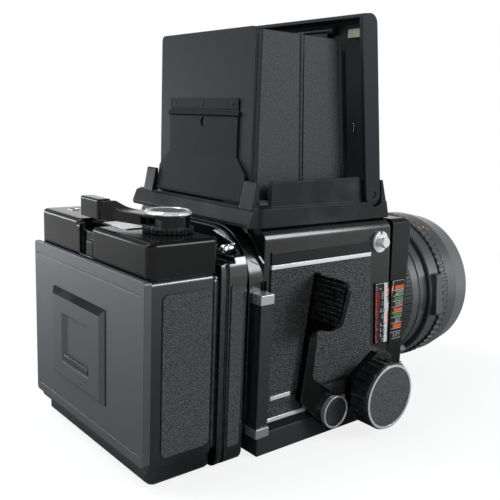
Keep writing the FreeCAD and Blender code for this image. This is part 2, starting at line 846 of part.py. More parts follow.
def release_button():
    rear = standard_front_y - standard_wall + 0.5
    front = standard_front_y + 9.5
    stem = rod("y", rear, front - 1, button_x, button_z, button_radius)
    crown = turned([(front - 1, 0), (front - 1, button_radius), (front, button_radius - 1), (front, 0)],
                   button_x, button_z)
    return joined(stem, crown)


def release_collar():
    rear = standard_front_y + 5 + fit
    front = rear + 3.2
    ring = toothed("y", rear, front, button_x, button_z, collar_radius - 0.6, collar_radius, 24)
    bore = rod("y", rear - 1, front + 1, button_x, button_z, button_radius + fit)
    return ring.cut(bore)


# Lens

def lens_lock_ring():
    rear = lock_ring_rear_y
    front = lock_ring_front_y
    ring = turned([(rear, mount_tube_radius + fit), (rear, lock_ring_radius - 3.0),
                   (rear + 3.0, lock_ring_radius - 1.4),
                   (front, lock_ring_radius - 1.4), (front, mount_tube_radius + fit)])
    ribs = toothed("y", rear + 4.5, front - 1.2, 0, axis_z, lock_ring_radius - 1.4, lock_ring_radius,
                   lock_ring_ribs)
    ribs = ribs.cut(rod("y", rear, front, 0, axis_z, lock_ring_radius - 2.4))
    return joined(ring, ribs)


def lens_seat_y():
    return standard_front_y - standard_wall + fit


def lens_housing():
    rear = lock_ring_front_y + fit
    return turned([(lens_seat_y(), rear_glass_radius), (lens_seat_y(), throat_radius - fit),
                   (rear, throat_radius - fit), (rear, housing_radius - 1), (rear + 1, housing_radius),
                   (speed_ring_rear_y - fit, housing_radius), (speed_ring_rear_y - fit, sleeve_radius),
                   (front_barrel_rear_y, sleeve_radius), (front_barrel_rear_y, sleeve_bore),
                   (rear + 3, sleeve_bore), (rear + 3, rear_glass_radius)])


def band(rear, front, radius, edge):
    # A ring that turns on the lens sleeve.
    return turned([(rear, sleeve_radius + fit), (rear, radius - edge), (rear + edge, radius),
                   (front - edge, radius), (front, radius - edge), (front, sleeve_radius + fit)])


def shutter_speed_ring():
    front = aperture_ring_rear_y - fit
    ring = band(speed_ring_rear_y, front, speed_ring_radius, 0.5)
    tabs = []
    for degrees in (-52, -118):
        tab = plate("y", speed_ring_rear_y + 0.8, front - 0.8, [
            (-4.5, axis_z + speed_ring_radius - 1.2, 0), (4.5, axis_z + speed_ring_radius - 1.2, 0),
            (3.2, axis_z + speed_ring_radius + 3.4, 1), (-3.2, axis_z + speed_ring_radius + 3.4, 1)])
        tabs.append(swung(tab, 90 - degrees, V(0, 0, axis_z), "y"))
    return joined(ring, *tabs)


def aperture_ring():
    front = depth_ring_rear_y - fit
    ring = band(aperture_ring_rear_y, front, aperture_ring_radius, 0.6)
    low = axis_z + aperture_ring_radius - 3
    high = axis_z + aperture_ring_radius + aperture_tab_height
    half = aperture_tab_half_width
    tab = plate("y", aperture_ring_rear_y + 1.8, front - 2.0, [
        (-half, low, 0), (half, low, 0), (half, high, 1.5), (-half, high, 1.5)])
    return joined(ring, swung(tab, 90 - aperture_tab_raise, V(0, 0, axis_z), "y"))


def depth_ring():
    front = front_barrel_rear_y - fit
    ring = toothed("y", depth_ring_rear_y, front, 0, axis_z, depth_ring_radius - 0.7, depth_ring_radius, 72)
    return ring.cut(rod("y", depth_ring_rear_y - 1, front + 1, 0, axis_z, sleeve_radius + fit))


def front_barrel():
    rear = front_barrel_rear_y
    return turned([(rear, sleeve_bore - 1), (rear, front_barrel_radius - 0.6),
                   (rear + 0.8, front_barrel_radius),
                   (rear + 9, front_barrel_radius), (lens_front_y - 1.2, front_rim_radius),
                   (lens_front_y, front_rim_radius - 1),
                   (lens_front_y, filter_radius), (lens_front_y - 6, filter_radius),
                   (lens_front_y - 9, front_glass_radius + 1.2), (rear + 11.5, front_glass_radius + 0.2),
                   (rear + 11.5, sleeve_bore - 4), (rear, sleeve_bore - 4)])


def lens_element(rear, front, radius, rear_bulge, front_bulge):
    # A round glass between its rim planes, with domed or flat faces.
    glass = rod("y", rear - rear_bulge, front + front_bulge, 0, axis_z, radius)
    for pole, bulge, way in ((front + front_bulge, front_bulge, -1), (rear - rear_bulge, rear_bulge, 1)):
        if bulge > 0:
            dome = (radius ** 2 + bulge ** 2) / (2 * bulge)
            glass = glass.common(Part.makeSphere(dome, V(0, pole + way * dome, axis_z), V(0, 1, 0)))
    return glass


def lens_glass():
    seat = front_barrel_rear_y + 11.5
    front = lens_element(seat, seat + 3, front_glass_radius, 0, front_dome)
    rear_edge = lens_seat_y() + 2.5
    rear = lens_element(rear_edge, rear_edge + 4, rear_glass_radius, 2.2, 0)
    return Part.makeCompound([front, rear])


def shutter_unit():
    rear = lock_ring_front_y + fit + 3
    front = front_barrel_rear_y
    return turned([(rear, rear_glass_radius), (rear, sleeve_bore), (front, sleeve_bore),
                   (front, rear_glass_radius),
                   (rear + 14, shutter_opening), (rear + 12, shutter_opening)])


# Revolving adapter and roll film back

def adapter_outline(rear, front, inset=0.0, top_radius=adapter_top_radius):
    half = adapter_half_width - inset
    low = axis_z - adapter_half_height + inset
    high = axis_z + adapter_half_height - inset
    return plate("y", rear, front, [
        (-half, low, adapter_bottom_radius), (half, low, adapter_bottom_radius),
        (half, high, top_radius), (-half, high, top_radius)])


def revolving_adapter():
    # The frame steps down behind a thin web that follows the corners of the body's flange.
    frame = adapter_outline(adapter_rear_y, adapter_front_y)
    sides = (-half_width - 1, half_width + 1)
    step = box(sides, (adapter_rear_y - 1, adapter_ledge_front_y), (adapter_ledge_z, body_height + 1))
    top = box(sides, (adapter_rear_y - 1, adapter_front_y + 1), (adapter_step_z, body_height + 1))
    web = adapter_outline(adapter_front_y - adapter_web, adapter_front_y, 0.0, flange_corner_radius)
    groove = adapter_outline(adapter_rear_y + 2.2, adapter_rear_y + 2.2 + adapter_groove_width, -1.0)
    groove = groove.cut(adapter_outline(adapter_rear_y, adapter_front_y, adapter_groove_depth))
    opening = box((-adapter_opening_half, adapter_opening_half), (adapter_rear_y - 1, adapter_front_y + 5),
                  (axis_z - adapter_opening_half, axis_z + adapter_opening_half))
    ring = rod("y", adapter_front_y - 1, flange_rear_y + spigot_depth - fit, 0, axis_z, spigot_radius)
    ring = ring.cut(rod("y", adapter_front_y - 2, flange_rear_y + 5, 0, axis_z, spigot_bore))
    frame = frame.cut([groove, step, top])
    return joined(frame, web, ring).cut(opening).removeSplitter()


def back_leather():
    strip = rounded_block("x", adapter_half_width, adapter_half_width + back_leather_thickness,
                          (adapter_rear_y + adapter_groove_width + 3.1, adapter_front_y - 2),
                          (adapter_leather_low_z, back_leather_high_z), 1.2)
    panel = rounded_block("x", case_half_width(), case_half_width() + back_leather_thickness,
                          (back_rear_y + 8.7, case_front_y - 0.8),
                          (case_body_low_z + 2.4, back_leather_high_z), 2.5)
    return Part.makeCompound([strip, mirrored(strip), panel, mirrored(panel)])


def case_half_width():
    return half_width - 0.6


def film_case():
    half = case_half_width()
    rear = back_rear_y + door_thickness + fit
    case = rounded_block("y", rear, case_front_y, (-half, half), (case_body_low_z - 3, case_high_z), 2)
    foot = rounded_block("z", case_low_z, case_body_low_z + 0.4,
                         (-case_base_half_width, case_base_half_width),
                         (back_rear_y + 4.5, flange_front_y), 4)
    foot = foot.makeChamfer(1.5, [edge for edge in foot.Edges if edge.BoundBox.ZMax < case_low_z + 0.01])
    flange = rounded_block("y", case_front_y, flange_front_y, (-flange_half_width, flange_half_width),
                           (case_body_low_z - 3, case_high_z), 3)
    rib = rounded_block("y", case_front_y + 0.7, case_front_y + 1.7, (-half, half),
                        (case_body_low_z - 2, case_high_z - 1), 3)
    case = joined(case, foot, flange, rib)
    cavity = box((-half + case_wall, half - case_wall), (rear - 1, case_front_y - case_wall),
                 (case_body_low_z, case_high_z - case_wall))
    gate = box((-film_gate_half_width, film_gate_half_width),
               (case_front_y - case_wall - 1, flange_front_y + 1),
               (axis_z - film_gate_half_height, axis_z + film_gate_half_height))
    slot = box((-half - 1, slide_reach_x + fit),
               (slide_rear_y() - pin_fit, slide_rear_y() + slide_thickness + pin_fit),
               (axis_z - slide_half_height - fit, axis_z + slide_half_height + fit))
    shaft = rod("z", case_high_z - case_wall - 1, case_high_z + 1, wind_x, wind_y,
                wind_shaft_radius + pin_fit)
    case = case.cut([cavity, gate, slot, shaft])
    knuckles = [hinge_barrel(low, high) for low,
                high in ((hinge_low_z, hinge_split_low_z), (hinge_split_high_z, hinge_high_z))]
    return joined(case.cut(hinge_barrel(hinge_split_low_z, hinge_split_high_z, fit)), *knuckles)


def slide_rear_y():
    return case_front_y + 1.9


def dark_slide():
    rear = slide_rear_y()
    sheet = box((-case_half_width() + 1, slide_reach_x), (rear, rear + slide_thickness),
                (axis_z - slide_half_height, axis_z + slide_half_height))
    handle = plate("y", rear - 0.6, rear + slide_thickness + 0.4, [
        (-half_width - 0.2, axis_z - slide_half_height + 4, 0),
        (-half_width - 0.2, axis_z + slide_half_height - 4, 0),
        (-half_width - slide_handle_width, axis_z + slide_half_height - 10, 5),
        (-half_width - slide_handle_width, axis_z - slide_half_height + 10, 5)])
    tongue = box((-half_width - 1, -case_half_width() + 2), (rear, rear + slide_thickness),
                 (axis_z - slide_half_height + 2, axis_z + slide_half_height - 2))
    return joined(sheet, tongue, handle)


def film_top():
    half = cover_half_width
    cover = rounded_block("z", case_high_z, cover_high_z, (-half, half), (cover_rear_y, flange_front_y),
                          cover_corner_radius)
    cover = cover.makeFillet(cover_edge_radius,
                             [edge for edge in cover.Edges if edge.BoundBox.ZMin > cover_high_z - 0.01])
    raised = rounded_block("z", case_high_z + 1, cover_raised_z, (-half, cover_step_x),
                           (cover_rear_y, flange_front_y - 6),
                           cover_corner_radius)
    raised = raised.makeFillet(cover_edge_radius,
                               [edge for edge in raised.Edges if edge.BoundBox.ZMin > cover_raised_z - 0.01])
    notch = box((cover_step_x, cover_notch_x), (cover_rear_y - 1, cover_rear_y + 1.8),
                (case_high_z + 1.2, cover_high_z + 3))
    stop_room = box((cover_step_x + 1.5, cover_notch_x + 1.5), (cover_rear_y + 1, cover_rear_y + 8),
                    (cover_high_z - 3, cover_high_z + 3))
    hollow = box((-half + cover_wall, half - cover_wall), (cover_rear_y + 4, flange_front_y - cover_wall),
                 (case_high_z - 1, cover_high_z - 4))
    shaft = rod("z", case_high_z, cover_high_z + 1, wind_x, wind_y, wind_shaft_radius + pin_fit)
    catch = rounded_block("y", cover_rear_y, cover_rear_y + 2, (cover_notch_x - 6.5, cover_notch_x - 0.6),
                          (case_high_z + 1.4, case_high_z + 8), 0.8)
    return joined(joined(cover, raised).cut([notch, stop_room, hollow, shaft]), catch)


def back_fittings():
    # Bright plate beside the wind lever, and the domed catch with its leaf in the corner of the adapter.
    rear = cover_rear_y + 8.6
    bright_plate = rounded_block("z", cover_high_z, cover_high_z + 0.4,
                                 (cover_notch_x - 8, wind_x - wind_base_radius - 0.8), (rear, rear + 16), 1.5)
    seat = adapter_front_y - adapter_web
    head = seat - catch_length
    catch = turned([(seat, 0), (seat, catch_radius), (seat - 2.2, catch_radius),
                    (seat - 2.2, catch_radius - 0.8),
                    (seat - 3.4, catch_radius - 0.8), (seat - 3.4, catch_radius), (head + 1.1, catch_radius),
                    (head + 0.3, catch_radius - 0.8), (head, 0)], catch_x, catch_z, "y")
    leaf = plate("y", seat - 1.0, seat, [
        (catch_x - 11.8, catch_z + 5.5, 0), (catch_x + 2.6, catch_z + 1.4 + fit, 0),
        (catch_x + 2.8, catch_z + 2.3 + fit, 0), (catch_x - 11.6, catch_z + 6.4, 0)])
    return Part.makeCompound([bright_plate, catch, leaf])


def hinge_barrel(low, high, grow=0.0):
    # A knuckle of the door's hinge, at the inner left edge of the door.
    return rod("z", low - grow, high + grow, -half_width, back_rear_y + door_thickness, hinge_radius + grow)


def film_door():
    # Flat, with a lip over the latch side only.
    half = half_width
    rear = back_rear_y
    door = rounded_block("y", rear, rear + door_lip, (-half, half), (door_low_z, door_high_z), 1.5)
    hollow = box((-half - 1, half - 0.5), (rear + door_thickness, rear + door_lip + 1),
                 (door_low_z - 1, door_high_z + 1))
    grooves = [box((-half + 3, half - 3), (rear - 1, rear + 0.4), (z, z + 0.5)) for z in (door_low_z + 4.2,
                                                                                          door_low_z + 71.0)]
    rooms = [hinge_barrel(hinge_low_z, hinge_split_low_z, fit),
             hinge_barrel(hinge_split_high_z, hinge_high_z, fit)]
    return joined(door.cut([hollow] + grooves + rooms), hinge_barrel(hinge_split_low_z, hinge_split_high_z))


def memo_holder():
    rear = back_rear_y - memo_thickness
    frame = rounded_block("y", rear, back_rear_y, (memo_left_x, memo_right_x), (memo_low_z, memo_high_z), 1)
    slot = box((memo_left_x + 2.4, memo_right_x - 7.7), (rear + 0.5, back_rear_y),
               (memo_low_z + 1.5, memo_high_z + 1))
    window = box((-18.5, 7.5), (rear - 1, rear + 1), (37.8, 60.4))
    return frame.cut([slot, window])


def film_insert():
    # The spool carrier: two end plates and the box that the film runs round.
    rear = back_rear_y + door_thickness + 1.0
    front = case_front_y - case_wall - 1.6
    half = case_half_width() - case_wall - 0.6
    floor = case_body_low_z + 0.1
    ceiling = case_high_z - case_wall - 0.1
    spool_high_z = spool_low_z + spool_length
    low_plate = rounded_block("z", spool_low_z - fit - carrier_plate, spool_low_z - fit, (-half, half),
                              (rear + 1, front), 3)
    high_plate = rounded_block("z", spool_high_z + fit, ceiling, (-half, half), (rear + 1, front), 3)
    core = rounded_block("z", floor, ceiling, (-spool_x + 13.5, spool_x - 13.5), (rear + 2, front), 2)
    core = core.cut(box((-spool_x + 15, spool_x - 15), (rear + 1, front - 1.5),
                        (spool_low_z, spool_high_z)))
    pins = []
    for x in (-spool_x, spool_x):
        pins.append(rod("z", spool_low_z - fit - carrier_plate, spool_low_z + 4, x, spool_y,
                        spool_pin_radius))
        pins.append(rod("z", spool_high_z - 4, ceiling, x, spool_y, spool_pin_radius))
    room = rod("z", ceiling - 3, ceiling + 1, wind_x, wind_y, wind_shaft_radius + fit)
    return joined(low_plate, high_plate, core, *pins).cut(room)


def spool(x):
    top = spool_low_z + spool_length
    body = rod("z", spool_low_z, top, x, spool_y, spool_core_radius)
    ends = []
    for low in (spool_low_z, top - spool_flange_thickness):
        ends.append(rod("z", low, low + spool_flange_thickness, x, spool_y, spool_flange_radius))
    bore = rod("z", spool_low_z - 1, top + 1, x, spool_y, spool_pin_radius + pin_fit)
    slit = box((x - 0.6, x + 0.6), (spool_y - spool_core_radius - 1, spool_y + spool_core_radius + 1),
               (spool_low_z + 8, top - 8))
    return joined(body, *ends).cut([bore, slit])


def pressure_plate():
    rear = case_front_y - case_wall - 1.4
    sheet = rounded_block("y", rear, rear + 1.1, (-film_gate_half_width - 2, film_gate_half_width + 2),
                          (axis_z - film_gate_half_height - 3, axis_z + film_gate_half_height + 3), 2)
    return sheet


def wind_lever():
    arm = plate("z", wind_arm_low_z, grip_high_z, [
        (wind_x + 3, wind_y - wind_hub_radius + 0.3, 3), (grip_right_x + 6, grip_rear_y + 4.6, 8),
        (grip_right_x - 2, grip_rear_y + 0.4, 1), (grip_right_x - 2, grip_front_y - 0.4, 1),
        (grip_right_x + 6, grip_front_y + 3.6, 8), (wind_x - 3, wind_y + wind_hub_radius - 0.6, 5)])
    arm = arm.common(plate("y", grip_rear_y - 1, wind_y + wind_hub_radius + 1, [
        (grip_right_x - 3, wind_arm_low_z, 0), (wind_x + wind_hub_radius, wind_arm_low_z, 0),
        (wind_x + wind_hub_radius, wind_arm_high_z, 0),
        (grip_right_x + arm_slope_length, wind_arm_high_z, 12),
        (grip_right_x + 1.5, grip_high_z - 0.7, 2), (grip_right_x - 3, grip_high_z - 0.7, 0)]))
    grip = rounded_block("z", wind_arm_low_z, grip_high_z, (grip_left_x, grip_right_x),
                         (grip_rear_y, grip_front_y), 1.2)
    grip = grip.makeFillet(0.9, [edge for edge in grip.Edges if edge.BoundBox.ZMin > grip_high_z - 0.01])
    hub = rod("z", cover_high_z + 1, wind_arm_high_z, wind_x, wind_y, wind_hub_radius)
    base = toothed("z", cover_high_z + fit, cover_high_z + 2.4, wind_x, wind_y, wind_base_radius - 0.6,
                   wind_base_radius, 36)
    window = box((wind_x - 4.5, wind_x + 7), (wind_y - wind_hub_radius - 2, wind_y - wind_hub_radius + 2.2),
                 (wind_arm_low_z + 0.4, wind_arm_high_z - 1.2))
    shaft = rod("z", case_high_z - case_wall - 1, cover_high_z + 1, wind_x, wind_y, wind_shaft_radius)
    return joined(hub, arm, grip, base, shaft).cut(window)


def wind_disc():
    low = wind_arm_high_z
    cap = turned([(low, 0), (low, wind_disc_radius - 0.8), (low + 0.4, wind_disc_radius),
                  (low + 0.9, wind_disc_radius),
                  (low + 1.8, wind_disc_radius - 1.1), (low + 1.8, wind_disc_radius - 1.6),
                  (low + 1.5, wind_disc_radius - 1.8),
                  (low + 1.5, 0)], wind_x, wind_y, "z")
    flats = []
    for i in range(8):
        flat = box((wind_disc_radius - 0.35, wind_disc_radius + 2), (-9, 9), (low - 1, low + 1.4))
        flat.rotate(V(0, 0, 0), V(0, 0, 1), 45 * i + 10)
        flat.translate(V(wind_x, wind_y, 0))
        flats.append(flat)
    return cap.cut(flats)


# Waist level finder

def finder_post(start, end):
    # A post whose rear face leans forwards.
    return plate("x", start, end, [
        (post_rear_y - 1.2, finder_skirt_z - 1, 0), (post_rear_y + post_return, finder_skirt_z - 1, 0),
        (post_rear_y + post_return, finder_wall_z, 0.5), (post_rear_y + 1.2, finder_wall_z, 0.8)])


def finder_base():
    lid_front_y = lid_pivot_y + lid_depth / 2
    rear_beam = plate("x", -finder_half_width + 1, finder_half_width - 1, [
        (finder_rear_y + 0.6, body_height, 0), (well_rear_y, body_height, 0),
        (well_rear_y, finder_skirt_z, 0),
        (finder_rear_y + 5, finder_skirt_z, 1.5), (finder_rear_y + 2.3, finder_skirt_z - 1, 0),
        (finder_rear_y, body_height + 1.6, 0.5)])
    skirt = rounded_block("z", body_height, finder_skirt_z, (-finder_half_width, finder_half_width),
                          (finder_rear_y + 4.2, finder_front_y - 2), 3)
    nose = plate("x", -finder_half_width, finder_half_width, [
        (finder_front_y - 9, body_height, 0), (finder_front_y, body_height, 0),
        (finder_front_y, body_height + 1.2, 0.5),
        (finder_front_y - 2.1, finder_skirt_z, 0), (finder_front_y - 9, finder_skirt_z, 0)])
    apron = plate("x", -lid_half_width - 0.4, lid_half_width + 0.4, [
        (lid_front_y + 0.7, finder_skirt_z - 4, 0), (finder_front_y + 0.6, finder_skirt_z - 4, 0),
        (lid_front_y + 0.8, finder_wall_z - 0.8, 0.3), (lid_front_y - 0.5, finder_wall_z - 0.8, 0.3),
        (lid_front_y + 0.7, lid_pivot_z, 0)])
    wall = plate("x", finder_wall_inner_x, finder_wall_outer_x, [
        (finder_wall_rear_y, finder_skirt_z - 1, 0), (lid_pivot_y + 2, finder_skirt_z - 1, 0),
        (lid_pivot_y + 2, lid_pivot_z + 2, 2), (32, finder_wall_z + 0.8, 4),
        (finder_wall_rear_y, finder_wall_z - 0.4, 1)])
    right_post = finder_post(hood_half_width + pin_fit, finder_wall_outer_x + 0.6)
    left_post = finder_post(-post_left_outer_x, -support_base_half_width - fit)
    pin = rod("x", finder_wall_outer_x - 1, lid_half_width - 0.3, lid_pivot_y, lid_pivot_z, lid_pin_radius)
    base = joined(rear_beam, skirt, nose, apron, wall, mirrored(wall), right_post, left_post)
    well = box((-well_half_width, well_half_width), (well_rear_y, well_front_y),
               (body_height - 1, finder_skirt_z + 1))
    notch = rod("x", finder_wall_outer_x, finder_half_width + 1, lid_pivot_y, lid_pivot_z,
                lid_depth / 2 + 0.5)
    notch = notch.common(box((0, finder_half_width + 2), (0, lid_pivot_y + 5.3),
                             (body_height, lid_pivot_z + 1)))
    base = base.cut([well, notch, mirrored(notch)])
    return joined(base, pin, mirrored(pin), *hood_posts())


def lid_frame(shape):
    # From the lid's own upright frame, with the pivot at its origin, to its open place.
    copy = shape.copy()
    copy.translate(V(0, lid_pivot_y, lid_pivot_z))
    return swung(copy, lid_lean, V(0, lid_pivot_y, lid_pivot_z))


def lid():
    half = lid_depth / 2
    top = lid_length
    outline = [(half, 0, 0), (half, top, 5), (-half, top, 1.5), (-half, 0, 0)]
    cheek = plate("x", lid_half_width - lid_wall, lid_half_width, outline)
    foot = rod("x", lid_half_width - lid_wall, lid_half_width, 0, 0, half)
    bore = rod("x", lid_half_width - lid_wall - 1, lid_half_width + 1, 0, 0, lid_pin_radius + pin_fit)
    cheek = joined(cheek, foot).cut(bore)
    shell = plate("x", -lid_half_width, lid_half_width, [
        (half, 1, 0), (half, top, 5), (-half, top, 1.5), (-half, top - lid_wall, 0.3),
        (half - lid_wall, top - lid_wall, 3.2), (half - lid_wall, 1, 0)])
    lugs = []
    for low, high in ((magnifier_left_x - fit - 4, magnifier_left_x - fit),
                      (magnifier_right_x + fit, magnifier_right_x + fit + 4)):
        lugs.append(rod("x", low, high, magnifier_hinge_y(), magnifier_hinge, 1.9))
    bore = rod("x", magnifier_left_x - magnifier_pin_length - fit,
               magnifier_right_x + magnifier_pin_length + fit,
               magnifier_hinge_y(), magnifier_hinge, magnifier_pin_radius + pin_fit)
    shell = joined(shell, cheek, mirrored(cheek), *lugs).cut(bore)
    return lid_frame(shell)


def magnifier_hinge_y():
    return lid_depth / 2 - lid_wall - 1.6


def magnifier_arm():
    hinge_y = magnifier_hinge_y()
    low = magnifier_hinge - magnifier_drop
    arm = plate("y", hinge_y - 1.0, hinge_y + 1.0, [
        (magnifier_left_x, magnifier_hinge - 1.2, 0), (magnifier_left_x, magnifier_hinge + 1.2, 0),
        (magnifier_right_x, magnifier_hinge + 1.2, 0), (magnifier_right_x, magnifier_hinge - 1.2, 0),
        (14, low + magnifier_radius, 2), (-16, low + magnifier_radius, 2)])
    rim = rod("y", hinge_y - 2.4, hinge_y + 1.0, magnifier_x, low + magnifier_radius - 3, magnifier_radius)
    bore = rod("y", hinge_y - 4, hinge_y + 3, magnifier_x, low + magnifier_radius - 3,
               magnifier_radius - magnifier_rim)
    barrel = rod("x", magnifier_left_x, magnifier_right_x, hinge_y, magnifier_hinge, 1.5)
    pins = rod("x", magnifier_left_x - magnifier_pin_length, magnifier_right_x + magnifier_pin_length,
               hinge_y,
               magnifier_hinge, magnifier_pin_radius)
    return lid_frame(joined(arm, rim, barrel, pins).cut(bore))


def magnifier_lens():
    hinge_y = magnifier_hinge_y()
    low = magnifier_hinge - magnifier_drop
    return lid_frame(rod("y", hinge_y - 1.6, hinge_y + 0.4, magnifier_x, low + magnifier_radius - 3,
                         magnifier_radius - magnifier_rim))


def fold_x():
    return hood_half_width - hood_panel_thickness / 2


def fold_y(share, z):
    # The fold lines lean back more the nearer they are to the lid: 0 at the rear corner, 1 at the front.
    foot = hood_corner_y + (hood_front_y - hood_corner_y) * share
    return foot - (z - hood_foot_z) * math.tan(math.radians(hood_lean)) * share


def fold_line(share, radius, low, high):
    barrel = rod("z", low, high, fold_x(), fold_y(share, hood_foot_z), radius)
    return swung(barrel, hood_lean * share, V(0, fold_y(share, hood_foot_z), hood_foot_z))


def hood_panel(rear_low, front_low, rear_high, front_high):
    return plate("x", hood_half_width - hood_panel_thickness, hood_half_width, [
        (rear_low, hood_low_z, 0), (front_low, hood_low_z, 0), (front_high, hood_high_z, 0),
        (rear_high, hood_high_z, 0)])


def hood_side_rear():
    rear = hood_flange_y + fit
    panel = hood_panel(rear, fold_y(0.5, hood_low_z) - hood_fold_gap, rear,
                       fold_y(0.5, hood_high_z) - hood_fold_gap)
    barrel = fold_line(0.5, 0.9, hood_low_z, hood_high_z + 0.8)
    leaf = plate("x", fold_x() - 0.25, fold_x() + 0.25, [
        (fold_y(0.5, hood_low_z) - hood_fold_gap - 1, hood_low_z, 0),
        (fold_y(0.5, hood_low_z), hood_low_z, 0),
        (fold_y(0.5, hood_high_z), hood_high_z, 0),
        (fold_y(0.5, hood_high_z) - hood_fold_gap - 1, hood_high_z, 0)])
    return joined(panel, barrel, leaf)


def hood_side_front():
    panel = hood_panel(fold_y(0.5, hood_low_z) + hood_fold_gap, fold_y(1, hood_low_z) - 1.2,
                       fold_y(0.5, hood_high_z) + hood_fold_gap, fold_y(1, hood_high_z) - 1.2)
    barrel = fold_line(1, 0.8, hood_low_z + 0.5, hood_high_z)
    leaf = plate("x", fold_x() - 0.25, fold_x() + 0.25, [
        (fold_y(1, hood_low_z) - 2, hood_low_z + 0.5, 0), (fold_y(1, hood_low_z), hood_low_z + 0.5, 0),
        (fold_y(1, hood_high_z), hood_high_z, 0), (fold_y(1, hood_high_z) - 2, hood_high_z, 0)])
    return joined(panel, barrel, leaf)


def hood_back():
    half = hood_half_width
    low = hood_low_z + 8
    panel = plate("y", hood_rear_y, hood_rear_y + 1.0, [
        (-half, low, 0), (half, low, 0), (half, hood_back_high_z, 2.5), (-half, hood_back_high_z, 2.5)])
    flange = plate("x", half - hood_panel_thickness, half, [
        (hood_rear_y, low, 0), (hood_flange_y, low, 0), (hood_flange_y, hood_high_z, 0.5),
        (hood_rear_y, hood_high_z - 1.5, 0)])
    barrel = fold_line(0, 0.7, low, hood_high_z - 2)
    return joined(panel, flange, mirrored(flange), barrel, mirrored(barrel))


def hood_support():
    # The braced plate behind the back panel: hinge strip, bead, flat part and a leaning foot.
    rear = hood_rear_y - 1.0
    flat = plate("y", rear, hood_rear_y, [
        (-support_half_width, support_crease_z - 0.5, 0), (support_half_width, support_crease_z - 0.5, 0),
        (support_half_width, support_high_z, 0), (-support_half_width, support_high_z, 0)])
    foot = plate("y", rear, hood_rear_y, [
        (-support_base_half_width, support_low_z, 0), (support_base_half_width, support_low_z, 0),
        (support_base_half_width, support_shoulder_z, 1), (support_half_width, support_crease_z, 0),
        (-support_half_width, support_crease_z, 0), (-support_base_half_width, support_shoulder_z, 1)])
    rolled = rod("x", -support_base_half_width, support_base_half_width, rear + 0.5, support_low_z + 0.3, 0.9)
    foot = swung(joined(foot, rolled), -support_lean, V(0, rear, support_crease_z))
    strip = rounded_block("y", rear + 0.2, hood_rear_y, (-support_half_width, support_half_width),
                          (support_strip_low_z, support_strip_z), 0.8)
    bead = rod("x", -support_half_width - 1, support_half_width + 1, rear + 0.5, support_high_z + 1.5, 1.1)
    bead = bead.cut(box((-40, 40), (hood_rear_y, hood_rear_y + 5), (support_high_z - 5, support_high_z + 8)))
    web = box((-support_half_width, support_half_width), (rear + 0.5, hood_rear_y),
              (support_high_z - 1, support_strip_low_z + 1))
    slot_z = support_high_z - 2.5
    crescent = rod("y", rear - 1, hood_rear_y + 0.1, 1.4, slot_z, 2.2)
    crescent = crescent.cut(rod("y", rear - 2, hood_rear_y + 1, 3.0, slot_z, 2.0))
    return joined(flat, foot, strip, bead, web).cut(crescent)


def hood_posts():
    # Two leaning rails behind the lid that carry the front hinges of the hood.
    start = hood_front_y + 1.1
    rail = box((hood_half_width - 1.2, hood_half_width), (start, start + hood_post_depth),
               (finder_skirt_z - 2, hood_post_z))
    rail = swung(rail, hood_lean, V(0, hood_front_y, hood_foot_z))
    rail = rail.common(box((0, 50), (-50, 50), (finder_skirt_z, hood_post_z)))
    foot = box((hood_half_width - 1.2, finder_wall_inner_x + 0.5), (start + 0.6, start + 4.6),
               (finder_skirt_z, finder_skirt_z + 2))
    return [rail, foot, mirrored(rail), mirrored(foot)]


NODES = {
    "body_shell": body_shell,
    "base_plate": base_plate,
    "tripod_bush": tripod_bush,
    "side_leather": lambda: Part.makeCompound([side_leather(True), side_leather(False)]),
    "trim_stripes": trim_stripes,
    "nameplates": nameplates,
    "index_plate": index_plate,
    "strap_lugs": strap_lugs,
    "accessory_shoe": accessory_shoe,
    "focusing_screen": focusing_screen,
    "mirror_carrier": mirror_carrier,
    "mirror_glass": mirror_glass,
    "focus_shaft": focus_shaft,
    "focus_rails": focus_rails,
    "focus_knob_right": focus_knob,
    "focus_knob_left": lambda: mirrored(focus_knob()),
    "knob_rings": knob_rings,
    "knob_discs": knob_discs,
    "focus_lock_lever": focus_lock_lever,
    "cocking_lever": cocking_lever,
    "cocking_lever_cap": cocking_lever_cap,
    "lock_bar_right": lock_bar,
    "lock_bar_left": lambda: mirrored(lock_bar()),
    "front_standard": front_standard,
    "scale_plate": scale_plate,
    "bellows": bellows,
    "release_button": release_button,
    "release_collar": release_collar,
    "lens_lock_ring": lens_lock_ring,
    "lens_housing": lens_housing,
    "shutter_speed_ring": shutter_speed_ring,
    "aperture_ring": aperture_ring,
    "depth_ring": depth_ring,
    "front_barrel": front_barrel,
    "lens_glass": lens_glass,
    "shutter_unit": shutter_unit,
    "revolving_adapter": revolving_adapter,
    "back_leather": back_leather,
    "film_case": film_case,
    "film_top": film_top,
    "back_fittings": back_fittings,
    "film_door": film_door,
    "memo_holder": memo_holder,
    "film_insert": film_insert,
    "takeup_spool": lambda: spool(spool_x),
    "supply_spool": lambda: spool(-spool_x),
    "pressure_plate": pressure_plate,
    "dark_slide": dark_slide,
    "wind_lever": wind_lever,
    "wind_disc": wind_disc,
    "finder_base": finder_base,
    "finder_lid": lid,
    "magnifier_arm": magnifier_arm,
    "magnifier_lens": magnifier_lens,
    "hood_back": hood_back,
    "hood_support": hood_support,
}
for side_name in ("right", "left"):
    flip = (lambda shape: shape) if side_name == "right" else mirrored
    NODES["hood_front_" + side_name] = lambda flip=flip: flip(hood_side_front())
    NODES["hood_rear_" + side_name] = lambda flip=flip: flip(hood_side_rear())

os.makedirs("parts", exist_ok=True)
for name, make in NODES.items():
    shape = make()
    shape.exportStep("parts/" + name + ".step")
    print(name, len(shape.Solids), "solids", round(shape.Volume), "mm3",
          "valid" if shape.isValid() else "NOT VALID")
print(len(NODES), "nodes")
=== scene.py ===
import math

import bmesh
import bpy
from mathutils import Matrix, Vector


